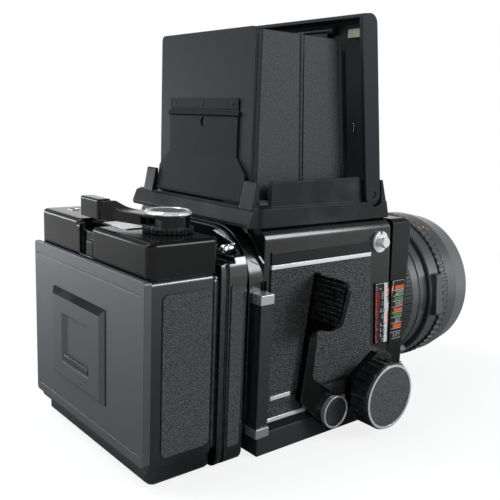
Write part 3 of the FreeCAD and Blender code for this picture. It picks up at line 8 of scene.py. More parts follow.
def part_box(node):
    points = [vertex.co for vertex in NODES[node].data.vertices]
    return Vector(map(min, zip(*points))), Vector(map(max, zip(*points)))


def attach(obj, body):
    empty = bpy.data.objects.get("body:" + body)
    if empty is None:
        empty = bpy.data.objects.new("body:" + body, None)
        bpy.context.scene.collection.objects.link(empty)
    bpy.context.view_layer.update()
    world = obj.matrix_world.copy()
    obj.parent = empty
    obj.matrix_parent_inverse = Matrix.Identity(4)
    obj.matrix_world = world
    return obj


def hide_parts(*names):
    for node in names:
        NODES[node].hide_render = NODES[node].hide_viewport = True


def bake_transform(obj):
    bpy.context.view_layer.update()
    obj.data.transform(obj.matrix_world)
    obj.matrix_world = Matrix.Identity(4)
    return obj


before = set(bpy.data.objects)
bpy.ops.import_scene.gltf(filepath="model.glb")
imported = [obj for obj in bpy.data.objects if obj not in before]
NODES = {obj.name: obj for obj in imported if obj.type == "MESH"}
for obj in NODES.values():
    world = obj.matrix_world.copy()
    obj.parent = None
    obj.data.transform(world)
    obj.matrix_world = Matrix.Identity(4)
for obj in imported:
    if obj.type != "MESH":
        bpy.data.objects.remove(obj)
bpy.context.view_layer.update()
MM = 0.001


# Shader trees. The texture coordinates of a material are its object's own, in metres.

class ShaderTree:
    def __init__(self, tree, coordinates):
        self.tree = tree
        self.where = self.add("ShaderNodeTexCoord").outputs[coordinates]

    def feed(self, socket, value):
        if isinstance(value, bpy.types.NodeSocket):
            self.tree.links.new(value, socket)
        else:
            socket.default_value = value

    def add(self, kind, inputs=None, **settings):
        node = self.tree.nodes.new(kind)
        for key, value in settings.items():
            setattr(node, key, value)
        for key, value in (inputs or {}).items():
            self.feed(node.inputs[key], value)
        return node

    def noise(self, scale, detail=3.0, roughness=0.55, where=None):
        node = self.add("ShaderNodeTexNoise", {"Vector": where or self.where, "Scale": scale,
                                               "Detail": detail, "Roughness": roughness})
        return node.outputs["Fac"]

    def soft_cells(self, scale, where, smoothness):
        node = self.add("ShaderNodeTexVoronoi", {"Vector": where, "Scale": scale}, feature="SMOOTH_F1")
        node.inputs["Smoothness"].default_value = smoothness
        return node.outputs["Distance"]

    def ramp(self, value, low, high, start=0.0, end=1.0):
        node = self.add("ShaderNodeMapRange", {"Value": value, "From Min": low, "From Max": high,
                                               "To Min": start, "To Max": end})
        return node.outputs["Result"]

    def mix(self, share, a, b):
        node = self.add("ShaderNodeMix", data_type="RGBA")
        self.feed(node.inputs["Factor"], share)
        self.feed(node.inputs[6], a)
        self.feed(node.inputs[7], b)
        return node.outputs[2]

    def math(self, operation, a, b):
        node = self.add("ShaderNodeMath", operation=operation)
        self.feed(node.inputs[0], a)
        self.feed(node.inputs[1], b)
        return node.outputs[0]

    def parts(self):
        split = self.add("ShaderNodeSeparateXYZ", {"Vector": self.where})
        return split.outputs["X"], split.outputs["Y"], split.outputs["Z"]

    def size(self, value):
        return self.math("ABSOLUTE", value, 0.0)

    def both(self, a, b):
        return self.math("MULTIPLY", a, b)

    def distance(self, a, a0, b, b0):
        across = self.math("POWER", self.size(self.math("SUBTRACT", a, a0)), 2.0)
        up = self.math("POWER", self.size(self.math("SUBTRACT", b, b0)), 2.0)
        return self.math("SQRT", self.math("ADD", across, up), 0.0)

    def stretched(self, x, y, z):
        return self.add("ShaderNodeMapping", {"Vector": self.where, "Scale": (x, y, z)}).outputs["Vector"]


class Recipe(ShaderTree):
    def __init__(self, name):
        self.material = bpy.data.materials.new(name)
        self.material.use_nodes = True
        super().__init__(self.material.node_tree, "Object")
        self.shader = self.tree.nodes["Principled BSDF"]

    def set(self, **values):
        for key, value in values.items():
            self.feed(self.shader.inputs[key.replace("_", " ")], value)

    def set_level(self, level):
        self.shader.inputs["Specular IOR Level"].default_value = level

    def edges(self, radius):
        # 1 along the outer edges, 0 on flat faces.
        bevel = self.add("ShaderNodeBevel", {"Radius": radius}, samples=4)
        plain = self.add("ShaderNodeNewGeometry").outputs["Normal"]
        dot = self.add("ShaderNodeVectorMath", operation="DOT_PRODUCT")
        self.feed(dot.inputs[0], bevel.outputs["Normal"])
        self.feed(dot.inputs[1], plain)
        return self.ramp(self.math("SUBTRACT", 1.0, dot.outputs["Value"]), 0.02, 0.35)

    def relief(self, height, depth, strength=1.0, rounding=0.0):
        bump = self.add("ShaderNodeBump", {"Height": height, "Distance": depth, "Strength": strength})
        if rounding > 0:
            bevel = self.add("ShaderNodeBevel", {"Radius": rounding}, samples=6)
            self.feed(bump.inputs["Normal"], bevel.outputs["Normal"])
        self.feed(self.shader.inputs["Normal"], bump.outputs["Normal"])


def grey(value, tint=0.0):
    return (value * (1 - tint), value, value * (1 + tint), 1)


# Materials

def enamel(name, tone, gloss, rounding, edge_wear_and_highlight, peel, level):
    # Black stoved enamel: slight orange peel, faint smears in the gloss, lighter cloudy patches painted
    # in as a blurred reflection, and edges a little rubbed and lighter still as a painted highlight.
    m = Recipe(name)
    smear = m.noise(38, 4)
    scratch = m.ramp(m.noise(1500, 2, where=m.stretched(1, 0.06, 0.4)), 0.66, 0.74)
    dust = m.ramp(m.noise(2600, 2), 0.63, 0.75)
    edge = m.both(m.edges(rounding * 1.5), m.ramp(m.noise(420, 4), 0.35, 0.7))
    # Lighter cloudy patches in the colour: a painted reflection.
    reflection_cloud = m.both(m.ramp(m.noise(26, 3), 0.5, 0.72), m.ramp(m.noise(170, 3), 0.3, 0.7, 0.5, 1.0))
    base = m.mix(m.ramp(smear, 0.3, 0.7), grey(tone * 0.7, 0.08), grey(tone * 1.3, 0.1))
    base = m.mix(reflection_cloud, base, grey(tone * 3.5, 0.08))
    base = m.mix(m.both(dust, 0.08), base, grey(0.12, 0.02))
    shine = m.ramp(smear, 0.25, 0.75, gloss * 0.75, gloss * 1.4)
    # Lighter edges: partly rubbed paint, partly a painted highlight along the rounded edges.
    m.set(Base_Color=m.mix(m.both(edge, edge_wear_and_highlight * 6), base, grey(0.16, 0.04)),
          Roughness=m.math("ADD", shine, m.both(scratch, 0.1)))
    m.set_level(level)
    m.relief(m.noise(260, 2), peel, 1.0, rounding)
    return m.material


def lacquer(name, tone, rough, grain, size, rounding, level, speckle):
    # Satin dark lacquer with a fine grain that shows in its colour too.
    m = Recipe(name)
    fine = m.noise(size, 4, 0.65)
    broad = m.noise(60, 3)
    speck = m.ramp(fine, 0.36, 0.66)
    edge = m.both(m.edges(rounding * 1.6), m.ramp(m.noise(700, 3), 0.3, 0.7))
    spread = 0.45 * speckle
    base = m.mix(speck, grey(tone * (1 - spread), 0.09), grey(tone * (1 + spread), 0.09))
    base = m.mix(m.ramp(broad, 0.3, 0.7, 0.0, 0.25), base, grey(tone * 1.15, 0.1))
    m.set(Base_Color=m.mix(m.both(edge, 0.3), base, grey(0.12, 0.05)),
          Roughness=m.ramp(fine, 0.3, 0.7, rough * 0.85, rough * 1.2))
    m.set_level(level)
    m.relief(fine, grain, 0.8, rounding)
    return m.material


def leatherette(name, tone, cell, depth, rough, stretch, level, crease_shade_tone):
    # Pebbled black leatherette: rounded pebbles with painted shade darkening the creases between them, as
    # the bump casts none.
    m = Recipe(name)
    wobble = m.add("ShaderNodeTexNoise", {"Vector": m.where, "Scale": 420.0, "Detail": 2.0})
    shift = m.add("ShaderNodeVectorMath", operation="SCALE")
    m.feed(shift.inputs[0], wobble.outputs["Color"])
    shift.inputs["Scale"].default_value = 0.0011
    bent = m.add("ShaderNodeVectorMath", operation="ADD")
    m.feed(bent.inputs[0], m.stretched(*stretch))
    m.feed(bent.inputs[1], shift.outputs[0])
    pebbles = m.soft_cells(cell, bent.outputs[0], 0.3)
    fine = m.noise(4200, 2)
    height = m.math("SUBTRACT", m.both(fine, 0.2), pebbles)
    # Darker creases: painted shade.
    crease_shade = m.ramp(pebbles, 0.22, 0.62)
    base = m.mix(crease_shade, grey(tone * 1.9, 0.06), grey(tone * crease_shade_tone, 0.05))
    base = m.mix(m.ramp(m.noise(120, 3), 0.35, 0.7, 0.0, 0.18), base, grey(tone * 0.9, 0.06))
    m.set(Base_Color=base, Roughness=m.ramp(pebbles, 0.2, 0.7, rough * 0.8, 0.85))
    m.set_level(level)
    m.relief(height, depth, 1.0, 0.0003)
    return m.material


def chrome(name, tone, rough, rounding):
    # Polished metal with faint haze and wiping marks.
    m = Recipe(name)
    haze = m.noise(140, 4)
    scratch = m.noise(900, 2, where=m.stretched(1, 0.08, 1))
    shine = m.ramp(haze, 0.3, 0.7, rough * 0.7, rough * 1.3)
    m.set(Base_Color=m.mix(m.ramp(haze, 0.3, 0.7), grey(tone * 0.95, 0.01), grey(tone, 0.01)),
          Metallic=1.0, Roughness=m.math("ADD", shine, m.ramp(scratch, 0.6, 0.8, 0.0, 0.06)))
    m.relief(scratch, 0.000001, 0.1, rounding)
    return m.material


def metal(name, tone=0.7, rough=0.3, along=(1, 1, 0.05), rounding=0.0003, metallic=1.0):
    # Brushed or satin metal with lines along one way.
    m = Recipe(name)
    lines = m.noise(2200, 3, where=m.stretched(*along))
    haze = m.noise(120, 4)
    base = m.mix(m.ramp(lines, 0.3, 0.7), grey(tone * 0.85, 0.01), grey(tone, 0.01))
    m.set(Base_Color=m.mix(m.ramp(haze, 0.45, 0.75, 0.0, 0.25), base, grey(tone * 0.7, 0.01)),
          Metallic=metallic, Roughness=m.ramp(lines, 0.3, 0.7, rough * 0.8, rough * 1.25))
    m.relief(lines, 0.00001, 0.7, rounding)
    return m.material


def two_tone(name, mask, first, second, grain, depth, rounding=0.0004):
    # One node with two finishes. mask(m) is 1 where the second one shows; each finish is
    # (dark colour, light colour, metallic, roughness, grain size).
    m = Recipe(name)
    share = mask(m)
    looks = []
    for dark, light, metallic, rough, size in (first, second):
        fine = m.noise(size, 4, 0.65)
        looks.append((m.mix(m.ramp(fine, 0.35, 0.66), dark, light), metallic,
                      m.ramp(fine, 0.3, 0.7, rough * 0.8, rough * 1.25)))
    (first_color, first_metallic, first_rough), (second_color, second_metallic, second_rough) = looks
    m.set(Base_Color=m.mix(share, first_color, second_color),
          Metallic=m.ramp(share, 0, 1, first_metallic, second_metallic),
          Roughness=m.math("ADD", m.both(first_rough, m.math("SUBTRACT", 1.0, share)),
                           m.both(second_rough, share)))
    m.relief(m.both(m.noise(grain, 3), share), depth, 1.0, rounding)
    return m.material


INK_ROUGHNESS = 0.45

# Places of the two finishes on one node, in metres in the row frame
HIGH_CAP_FOOT, LOW_CAP_TOP = 0.0741, 0.0172
CAP_MARKS_Z = (0.0150, 0.0763)
CAP_MARK_X = 0.0537
CAP_MARK_RADIUS, CAP_MARK_HALF_LINE = 0.0011, 0.0003
CAP_REAR_Y = -0.0388
# Rear inner edge of a lock bar, painted with a highlight
GLEAM_EDGE_X, GLEAM_EDGE_Y = 0.0509, -0.0386
LOW_STRIPE_FOOT, LOW_STRIPE_TOP = 0.0205, 0.045
# Where the low stripe turns to a painted reflection of the black lever and knob
DARK_REFLECTION_START_Y = -0.0146
LEVER_CAP_FACE = 0.0072
DISC_FACE = 0.0076


def bar_caps(m):
    # The satin caps at both ends of a lock bar, each with a round mark on its rear face, and a painted
    # highlight along the bar's rear inner edge.
    x, y, z = m.parts()
    side = m.size(x)
    # The lit rear inner edge: a painted highlight in the satin cap finish.
    edge_gleam = m.both(m.math("LESS_THAN", y, GLEAM_EDGE_Y), m.math("LESS_THAN", side, GLEAM_EDGE_X))
    caps = m.math("MAXIMUM", m.math("GREATER_THAN", z, HIGH_CAP_FOOT),
                  m.math("LESS_THAN", z, LOW_CAP_TOP))
    rings = []
    for mark_z in CAP_MARKS_Z:
        off = m.size(m.math("SUBTRACT", m.distance(side, CAP_MARK_X, z, mark_z), CAP_MARK_RADIUS))
        rings.append(m.math("LESS_THAN", off, CAP_MARK_HALF_LINE))
    marks = m.both(m.math("MAXIMUM", *rings), m.math("LESS_THAN", y, CAP_REAR_Y))
    return m.math("SUBTRACT", m.math("MAXIMUM", caps, edge_gleam), m.both(marks, 0.55))


def dark_reflection_run(m):
    # The short stripe low on the side is bright at its rear end only; forward of that it is dark, a
    # painted reflection of the black lever and knob in the chrome.
    x, y, z = m.parts()
    low_stripe = m.both(m.math("GREATER_THAN", z, LOW_STRIPE_FOOT),
                        m.math("LESS_THAN", z, LOW_STRIPE_TOP))
    return m.both(low_stripe, m.math("GREATER_THAN", y, DARK_REFLECTION_START_Y))


def inside_circle(axis, first, second, radius):
    # A mask for the round face of a turned node about an axis.
    def mask(m):
        x, y, z = m.parts()
        a, b = (y, z) if axis == "x" else (x, y)
        return m.math("LESS_THAN", m.distance(a, first, b, second), radius)
    return mask


def centre(node, *axes):
    # The middle of a node's box along the given axes, in metres.
    low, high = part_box(node)
    return tuple((low[axis] + high[axis]) / 2 for axis in axes)


def cloth(name):
    # Coarse woven black cloth.
    m = Recipe(name)
    weave = m.add("ShaderNodeTexWave", {"Vector": m.where, "Scale": 900.0,
                                        "Distortion": 1.5}).outputs["Fac"]
    fine = m.noise(3000, 2)
    m.set(Base_Color=m.mix(weave, grey(0.008), grey(0.02)), Roughness=m.ramp(fine, 0.3, 0.7, 0.7, 0.95))
    m.relief(m.math("ADD", weave, fine), 0.00005, 0.7)
    return m.material


def glass(name, tint, coat):
    # Clear glass whose coating changes colour a little over the face.
    m = Recipe(name)
    smear = m.noise(70, 4)
    m.set(Base_Color=m.mix(m.ramp(smear, 0.3, 0.7), tint, coat),
          Roughness=m.ramp(smear, 0.4, 0.8, 0.0, 0.03), Transmission_Weight=1.0, IOR=1.5)
    m.relief(m.noise(30, 2), 0.000005, 0.3)
    return m.material


def ground_glass(name):
    # The screen: fine grain with faint ruled lines.
    m = Recipe(name)
    grain = m.noise(6000, 2)
    x, y, z = m.parts()
    lines = m.math("MAXIMUM", *(m.ramp(m.math("PINGPONG", along, 0.006), 0.00012, 0.0002, 1.0, 0.0)
                                for along in (x, y)))
    base = m.mix(grain, grey(0.5, 0.02), grey(0.62, 0.02))
    m.set(Base_Color=m.mix(m.both(lines, 0.8), base, grey(0.08)),
          Roughness=m.ramp(grain, 0.3, 0.7, 0.35, 0.5))
    m.relief(grain, 0.00003, 0.6)
    return m.material


def mirror(name):
    # Silvered glass, almost clear of haze.
    m = Recipe(name)
    haze = m.noise(40, 4)
    m.set(Base_Color=m.mix(haze, grey(0.84, 0.01), grey(0.92, 0.01)), Metallic=1.0,
          Roughness=m.ramp(haze, 0.4, 0.8, 0.01, 0.05))
    m.relief(m.noise(20, 2), 0.000003, 0.2)
    return m.material


def print_ink(name, color):
    # Printing ink and coloured plastic, nearly even.
    m = Recipe(name)
    fine = m.noise(5000, 2)
    darker = tuple(c * 0.8 for c in color[:3]) + (1,)
    m.set(Base_Color=m.mix(m.ramp(fine, 0.35, 0.7), darker, color),
          Roughness=m.ramp(fine, 0.3, 0.7, INK_ROUGHNESS * 0.9, INK_ROUGHNESS * 1.1))
    m.relief(fine, 0.00001, 0.5)
    return m.material


# Finishes: dark colour, light colour, metallic, roughness, grain size

GLOSS = (grey(0.022, 0.08), grey(0.036, 0.1), 0.0, 0.13, 600)
BRIGHT = (grey(0.86, 0.01), grey(0.95, 0.01), 0.6, 0.2, 900)
STRIPE = (grey(0.85, 0.0), grey(0.95, 0.0), 0.35, 0.3, 2400)
# The dark part of the stripe: a painted reflection of the black lever and knob.
STRIPE_DARK_REFLECTION = (grey(0.006, 0.05), grey(0.02, 0.05), 0.0, 0.45, 1900)
CAP_TEXTURE = (grey(0.006, 0.05), grey(0.06, 0.06), 0.0, 0.5, 1500)
DISC_TEXTURE = (grey(0.004, 0.02), grey(0.16, 0.02), 0.0, 0.6, 1100)
SATIN_CAP = (grey(0.42, 0.02), grey(0.62, 0.02), 0.75, 0.32, 3000)

MATERIALS = {
    "enamel": enamel("gloss_black_enamel", tone=0.0025, gloss=0.11, rounding=0.0008, edge_wear_and_highlight=0.12,
                     peel=0.000012, level=0.2),
    "case": enamel("case_black_enamel", tone=0.006, gloss=0.12, rounding=0.0008, edge_wear_and_highlight=0.14,
                   peel=0.000012, level=0.85),
    "enamel_satin": enamel("half_gloss_black_enamel", tone=0.004, gloss=0.18, rounding=0.0006,
                           edge_wear_and_highlight=0.04, peel=0.00001, level=0.5),
    "front_enamel": enamel("front_black_enamel", tone=0.003, gloss=0.16, rounding=0.0007, edge_wear_and_highlight=0.1,
                           peel=0.00001, level=0.25),
    "lever": enamel("black_lever_enamel", tone=0.0015, gloss=0.2, rounding=0.0007, edge_wear_and_highlight=0.12,
                    peel=0.00001, level=0.2),
    "door": lacquer("door_grey_lacquer", tone=0.06, rough=0.34, grain=0.00002, size=2600,
                    rounding=0.0005, level=0.95, speckle=0.25),
    "hood": lacquer("hood_black_lacquer", tone=0.03, rough=0.45, grain=0.00003, size=2600,
                    rounding=0.0005, level=0.08, speckle=0.6),
    "foot": lacquer("support_black_lacquer", tone=0.018, rough=0.5, grain=0.0001, size=1300,
                    rounding=0.0005, level=0.06, speckle=1.0),
    "finder": enamel("finder_black_enamel", tone=0.022, gloss=0.3, rounding=0.0006, edge_wear_and_highlight=0.04,
                     peel=0.00001, level=0.12),
    "wrinkle": lacquer("wrinkle_lacquer", tone=0.055, rough=0.5, grain=0.0005, size=1100,
                       rounding=0.0004, level=0.3, speckle=1.4),
    "satin": lacquer("satin_black_lacquer", tone=0.006, rough=0.36, grain=0.00002, size=3000,
                     rounding=0.0004, level=0.25, speckle=0.6),
    "lens": lacquer("lens_black_anodised", tone=0.05, rough=0.26, grain=0.00001, size=4200,
                    rounding=0.0004, level=0.9, speckle=0.3),
    "inner": lacquer("matt_inner_black", tone=0.002, rough=0.7, grain=0.00005, size=2600,
                     rounding=0.0004, level=0.1, speckle=0.6),
    "base": lacquer("base_satin_grey", tone=0.04, rough=0.34, grain=0.00003, size=2600, rounding=0.0007,
                    level=0.4, speckle=0.4),
    "leather": leatherette("side_leatherette", tone=0.055, cell=1700, depth=0.0008, rough=0.28,
                           stretch=(1, 0.55, 1.1), level=0.75, crease_shade_tone=0.16),
    "back_leather": leatherette("back_leatherette", tone=0.105, cell=2400, depth=0.0006, rough=0.32,
                                stretch=(1, 1, 1), level=0.7, crease_shade_tone=0.2),
    "leather_disc": leatherette("knob_leatherette", tone=0.09, cell=2600, depth=0.0001, rough=0.45,
                                stretch=(1, 1, 1), level=0.5, crease_shade_tone=0.4),
    "plastic": enamel("black_moulding", tone=0.01, gloss=0.12, rounding=0.0007, edge_wear_and_highlight=0.1, peel=0.00001,
                      level=0.5),
    "chrome": chrome("polished_chrome", tone=0.86, rough=0.06, rounding=0.0004),
    "trim": two_tone("stripe_trim", dark_reflection_run, STRIPE, STRIPE_DARK_REFLECTION, grain=1900, depth=0.00001),
    "memo": lacquer("frame_grey_lacquer", tone=0.065, rough=0.38, grain=0.00002, size=2600,
                    rounding=0.0004, level=0.6, speckle=0.3),
    # Darker, duller black for the memo frame's top and right bevels: painted shade.
    "bevel": enamel("shaded_bevel_black_enamel", tone=0.002, gloss=0.55, rounding=0.0004, edge_wear_and_highlight=0.03,
                    peel=0.00001, level=0.05),
    "ring": metal("bright_ring", tone=0.95, rough=0.25, along=(1, 1, 1), rounding=0.0003, metallic=0.4),
    "aluminium": metal("satin_aluminium", tone=0.82, rough=0.24, along=(1, 1, 1)),
    "lever_cap": two_tone("capped_pivot",
                          inside_circle("x", *centre("cocking_lever_cap", 1, 2), LEVER_CAP_FACE),
                          BRIGHT, CAP_TEXTURE, grain=1500, depth=0.0002),
    "disc": two_tone("textured_disc", inside_circle("z", *centre("wind_disc", 0, 1), DISC_FACE),
                     BRIGHT, DISC_TEXTURE, grain=1100, depth=0.0004),
    "bar": two_tone("capped_bar", bar_caps, GLOSS, SATIN_CAP, grain=3000, depth=0.00002,
                    rounding=0.0006),
    "lock_ring": lacquer("lock_ring_black", tone=0.018, rough=0.34, grain=0.00002, size=3600,
                         rounding=0.0004, level=0.35, speckle=0.4),
    "steel": metal("brushed_steel", tone=0.6, rough=0.3),
    "cloth": cloth("bellows_cloth"),
    "glass": glass("coated_glass", tint=(0.75, 0.8, 0.95, 1), coat=(0.8, 0.72, 0.95, 1)),
    "ground": ground_glass("ground_glass"),
    "mirror": mirror("silvered_mirror"),
    "white": print_ink("white_ink", color=grey(0.88)),
    "cream": print_ink("cream_plastic", color=(0.52, 0.5, 0.38, 1)),
    "red": print_ink("red_ink", color=(1.0, 0.03, 0.02, 1)),
    "orange": print_ink("orange_ink", color=(0.95, 0.12, 0.01, 1)),
    "green": print_ink("green_ink", color=(0.04, 0.24, 0.03, 1)),
    "black_ink": print_ink("black_ink", color=grey(0.01)),
}

DRESS = {
    "body_shell": "enamel_satin", "base_plate": "base", "tripod_bush": "steel",
    "side_leather": "leather", "trim_stripes": "trim", "nameplates": "satin",
    "index_plate": "satin", "strap_lugs": "ring", "accessory_shoe": "steel",
    "focusing_screen": "ground", "mirror_carrier": "inner", "mirror_glass": "mirror",
    "focus_shaft": "steel", "focus_rails": "steel", "focus_knob_right": "plastic",
    "focus_knob_left": "plastic", "knob_rings": "ring", "knob_discs": "leather_disc",
    "focus_lock_lever": "satin", "cocking_lever": "lever", "cocking_lever_cap": "lever_cap",
    "lock_bar_right": "bar", "lock_bar_left": "bar", "front_standard": "front_enamel",
    "scale_plate": "satin", "bellows": "cloth", "release_button": "chrome",
    "release_collar": "chrome", "lens_lock_ring": "lock_ring", "lens_housing": "lens",
    "shutter_speed_ring": "lens", "aperture_ring": "lens", "depth_ring": "lens",
    "front_barrel": "lens", "lens_glass": "glass", "shutter_unit": "inner",
    "revolving_adapter": "case", "back_leather": "back_leather", "film_case": "case",
    "film_top": "enamel", "back_fittings": "aluminium", "film_door": "door", "memo_holder": "memo",
    "film_insert": "inner", "takeup_spool": "plastic", "supply_spool": "plastic",
    "pressure_plate": "inner", "dark_slide": "steel", "wind_lever": "enamel", "wind_disc": "disc",
    "finder_base": "finder", "finder_lid": "hood", "magnifier_arm": "satin",
    "magnifier_lens": "glass", "hood_back": "hood", "hood_support": "foot",
    "hood_front_right": "wrinkle", "hood_front_left": "wrinkle", "hood_rear_right": "wrinkle",
    "hood_rear_left": "wrinkle",
}

for name, look in DRESS.items():
    slots = NODES[name].data.materials
    if not slots:
        slots.append(MATERIALS[look])
    for i in range(len(slots)):
        slots[i] = MATERIALS[look]


# Pieces in mesh code. Points are in millimetres in the row frame.

def piece(name, body, look, points, faces):
    # A mesh that rides on a body. One without a body is left unattached.
    mesh = bpy.data.meshes.new(name)
    mesh.from_pydata([tuple(c * MM for c in p) for p in points], [], faces)
    mesh.validate()
    built = bmesh.new()
    built.from_mesh(mesh)
    bmesh.ops.recalc_face_normals(built, faces=built.faces)
    built.to_mesh(mesh)
    built.free()
    obj = bpy.data.objects.new(name, mesh)
    bpy.context.collection.objects.link(obj)
    mesh.materials.append(MATERIALS[look])
    if body:
        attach(obj, body)
    return obj


def band(count, first, second):
    # The faces between two rings of count points, numbered in the order of the points.
    faces = []
    for i in range(count):
        j = (i + 1) % count
        faces.append((first * count + i, first * count + j, second * count + j, second * count + i))
    return faces


def prism(rings):
    # Faces that join rings of points of equal count, with both ends closed.
    count = len(rings[0])
    points = [p for ring in rings for p in ring]
    faces = []
    for r in range(len(rings) - 1):
        faces += band(count, r, r + 1)
    faces.append(tuple(range(count)))
    faces.append(tuple((len(rings) - 1) * count + i for i in range(count)))
    return points, faces


def patch(outline, normal, low, high):
    # A thin plate from an outline of points, between two heights along its normal.
    n = Vector(normal).normalized()
    bottom = [Vector(p) + n * low for p in outline]
    top = [Vector(p) + n * high for p in outline]
    return prism([bottom, top])


# Printed marks. Each lies on a plane of constant x and is given as (y, z) points in millimetres.

INK = 0.04

# Width of a stroke and gap between figures, as shares of a figure's height
STROKE_WIDTH = 0.2
FIGURE_GAP = 0.24

# Strokes of each figure in a box one wide and one high
STROKES = {
    "0": [[(0, .15), (0, .85), (.2, 1), (.8, 1), (1, .85), (1, .15), (.8, 0), (.2, 0), (0, .15)]],
    "1": [[(.2, .8), (.55, 1), (.55, 0)]],
    "2": [[(0, .8), (.2, 1), (.8, 1), (1, .8), (1, .6), (0, 0), (1, 0)]],
    "3": [[(0, .9), (.2, 1), (.8, 1), (1, .8), (.9, .58), (.5, .52), (1, .42), (1, .15), (.8, 0), (.2, 0),
           (0, .12)]],
    "4": [[(.75, 0), (.75, 1), (0, .3), (1, .3)]],
    "5": [[(1, 1), (.1, 1), (0, .55), (.7, .6), (1, .4), (1, .15), (.8, 0), (.2, 0), (0, .12)]],
    "6": [[(.9, 1), (.3, .85), (0, .5), (0, .15), (.2, 0), (.8, 0), (1, .15), (1, .4), (.8, .55),
           (.1, .5)]],
    "7": [[(0, 1), (1, 1), (.4, 0)]],
    "8": [[(.2, .5), (0, .7), (.2, 1), (.8, 1), (1, .7), (.8, .5), (.2, .5), (0, .3), (.2, 0), (.8, 0),
           (1, .3), (.8, .5)]],
    "9": [[(1, .5), (.9, .1), (.6, 0), (.1, 0)],
          [(1, .5), (.8, .42), (.2, .42), (0, .6), (0, .85), (.2, 1), (.8, 1), (1, .85), (1, .5)]],
    ".": [[(.4, 0), (.4, .12)]],
}


def line(points, width):
    # Four-sided pieces along a run of (y, z) points.
    shapes = []
    for (y0, z0), (y1, z1) in zip(points, points[1:]):
        length = math.hypot(y1 - y0, z1 - z0) or 1.0
        ay, az = (y1 - y0) / length * width / 2, (z1 - z0) / length * width / 2
        shapes.append([(y0 - ay - az, z0 - az + ay), (y1 + ay - az, z1 + az + ay),
                       (y1 + ay + az, z1 + az - ay), (y0 - ay + az, z0 - az - ay)])
    return shapes


def circle(y, z, radius, count):
    # Points round a centre.
    return [(y + radius * math.cos(a), z + radius * math.sin(a))
            for a in (2 * math.pi * i / count for i in range(count))]


def digits(text, y, z, height, width):
    # Figures centred on (y, z).
    gap = height * FIGURE_GAP
    total = len(text) * width + (len(text) - 1) * gap
    foot = z - height / 2
    shapes = []
    for i, figure in enumerate(text):
        left = y - total / 2 + i * (width + gap)
        for run in STROKES[figure]:
            shapes += line([(left + a * width, foot + b * height) for a, b in run], height * STROKE_WIDTH)
    return shapes


def printed(name, body, look, x, shapes):
    # One mesh of flat shapes as thick as ink, on the plane x.
    points, faces = [], []
    for shape in shapes:
        rings = [[(x + thick, y, z) for y, z in shape] for thick in (0, INK)]
        ring_points, ring_faces = prism(rings)
        faces += [tuple(i + len(points) for i in face) for face in ring_faces]
        points += ring_points
    return piece(name, body, look, points, faces)


# The distance scale: figures beside a white line on the body, coloured bars on the moving front

INDEX_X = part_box("index_plate")[1].x / MM
SCALE_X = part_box("scale_plate")[1].x / MM
PLATE_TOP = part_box("index_plate")[1].z / MM

# Edges that run down the plates, as y at the plate's top and the step forward for each mm down
SLANT = 0.09
STRIP_REAR, STRIP_FRONT = 48.3, 50.9
INDEX_FRONT, INDEX_FRONT_SLANT = 52.0, 0.066
SCALE_REAR, SCALE_REAR_SLANT = 55.9, 0.043
STRIP_TOP, STRIP_FOOT = 72.6, 40.3

# Bands of the fan: colour, and its upper and lower height on the white line. They start at APEX.
APEX = (57.5, 69.8)
FAN = [("orange", 69.6, 65.2), ("green", 64.8, 62.2), ("white", 61.8, 56.4), ("orange", 56.0, 47.6)]

# Figures and their heights on the two rows beside the white line
RED_ROW, RED_HEIGHT, RED_WIDTH = 43.1, 2.0, 1.25
RED_FIGURES = [("30", 67.0), ("15", 64.5), ("10", 62.0), ("8", 59.5), ("7", 57.0), ("6", 54.5),
               ("5", 51.3), ("4", 48.4), ("3", 44.9), ("2", 42.1)]
WHITE_ROW, WHITE_HEIGHT, WHITE_WIDTH = 47.1, 1.7, 0.85
WHITE_FIGURES = [("9", 67.2), ("5", 65.1), ("3", 61.7), ("2.5", 58.1), ("2", 54.5), ("1.7", 50.3),
                 ("1.4", 47.4), ("1.1", 44.4), ("1", 41.8)]

# Black ticks in the white line, from TICKS_REAR to its front edge
TICKS_REAR = 49.9
TICK_WIDTH = 0.22
TICKS = (69.5, 67.2, 64.9, 62.0, 58.5, 54.6, 50.2, 45.0)

# The rear corner of the thin frame round the figures, with the ends of its upper and rear lines
FRAME_CORNER = (42.0, 72.3)
FRAME_FRONT, FRAME_FOOT = (50.9, 72.5), (45.0, 41.0)

# A small ring and a dot over the two rows: y, z and radius
RING, DOT = (42.9, 69.9, 0.75), (45.7, 69.5, 0.45)
RING_WIDTH = 0.25

# Bars of the moving plate: colour, top, foot, and figures where the bar is a row of figures
BARS = [("orange", 69.4, 67.4, None), ("white", 66.7, 64.2, "250"), ("green", 63.2, 61.3, None),
        ("white", 60.5, 58.2, "180"), ("orange", 57.0, 55.1, None), ("green", 54.2, 52.4, None),
        ("white", 51.2, 49.3, "90"), ("orange", 48.2, 46.1, None)]
BARS_REAR, BARS_FRONT = 59.0, 66.0
BARS_SLANT, BARS_MIDDLE = 0.03, 58
BAR_HEIGHT, BAR_WIDTH = 1.9, 1.7

# The thin line under each bar: how far it starts behind the bar and lies below it, and its width
RULE_REACH, RULE_DROP, RULE_WIDTH = 1.2, 0.35, 0.22

# Lines round the foot of the moving plate, the figures between them and the frame at its top
FOOT_RULES = ((57.6, 43.9), (59.2, 40.3))
FOOT_Z, FOOT_HEIGHT, FOOT_WIDTH = 42.3, 1.5, 0.9
FOOT_FIGURES = (("3.5", 61.6), ("8", 64.9))
TOP_FRAME = [(56.3, 72.1), (65.2, 72.1), (66.0, 71.2)]
TOP_TICK = [(57.0, 72.0), (57.0, 70.4)]


def leaning(y_top, z):
    # y of a line that runs down the plate and forward with it.
    return y_top + (PLATE_TOP - z) * SLANT


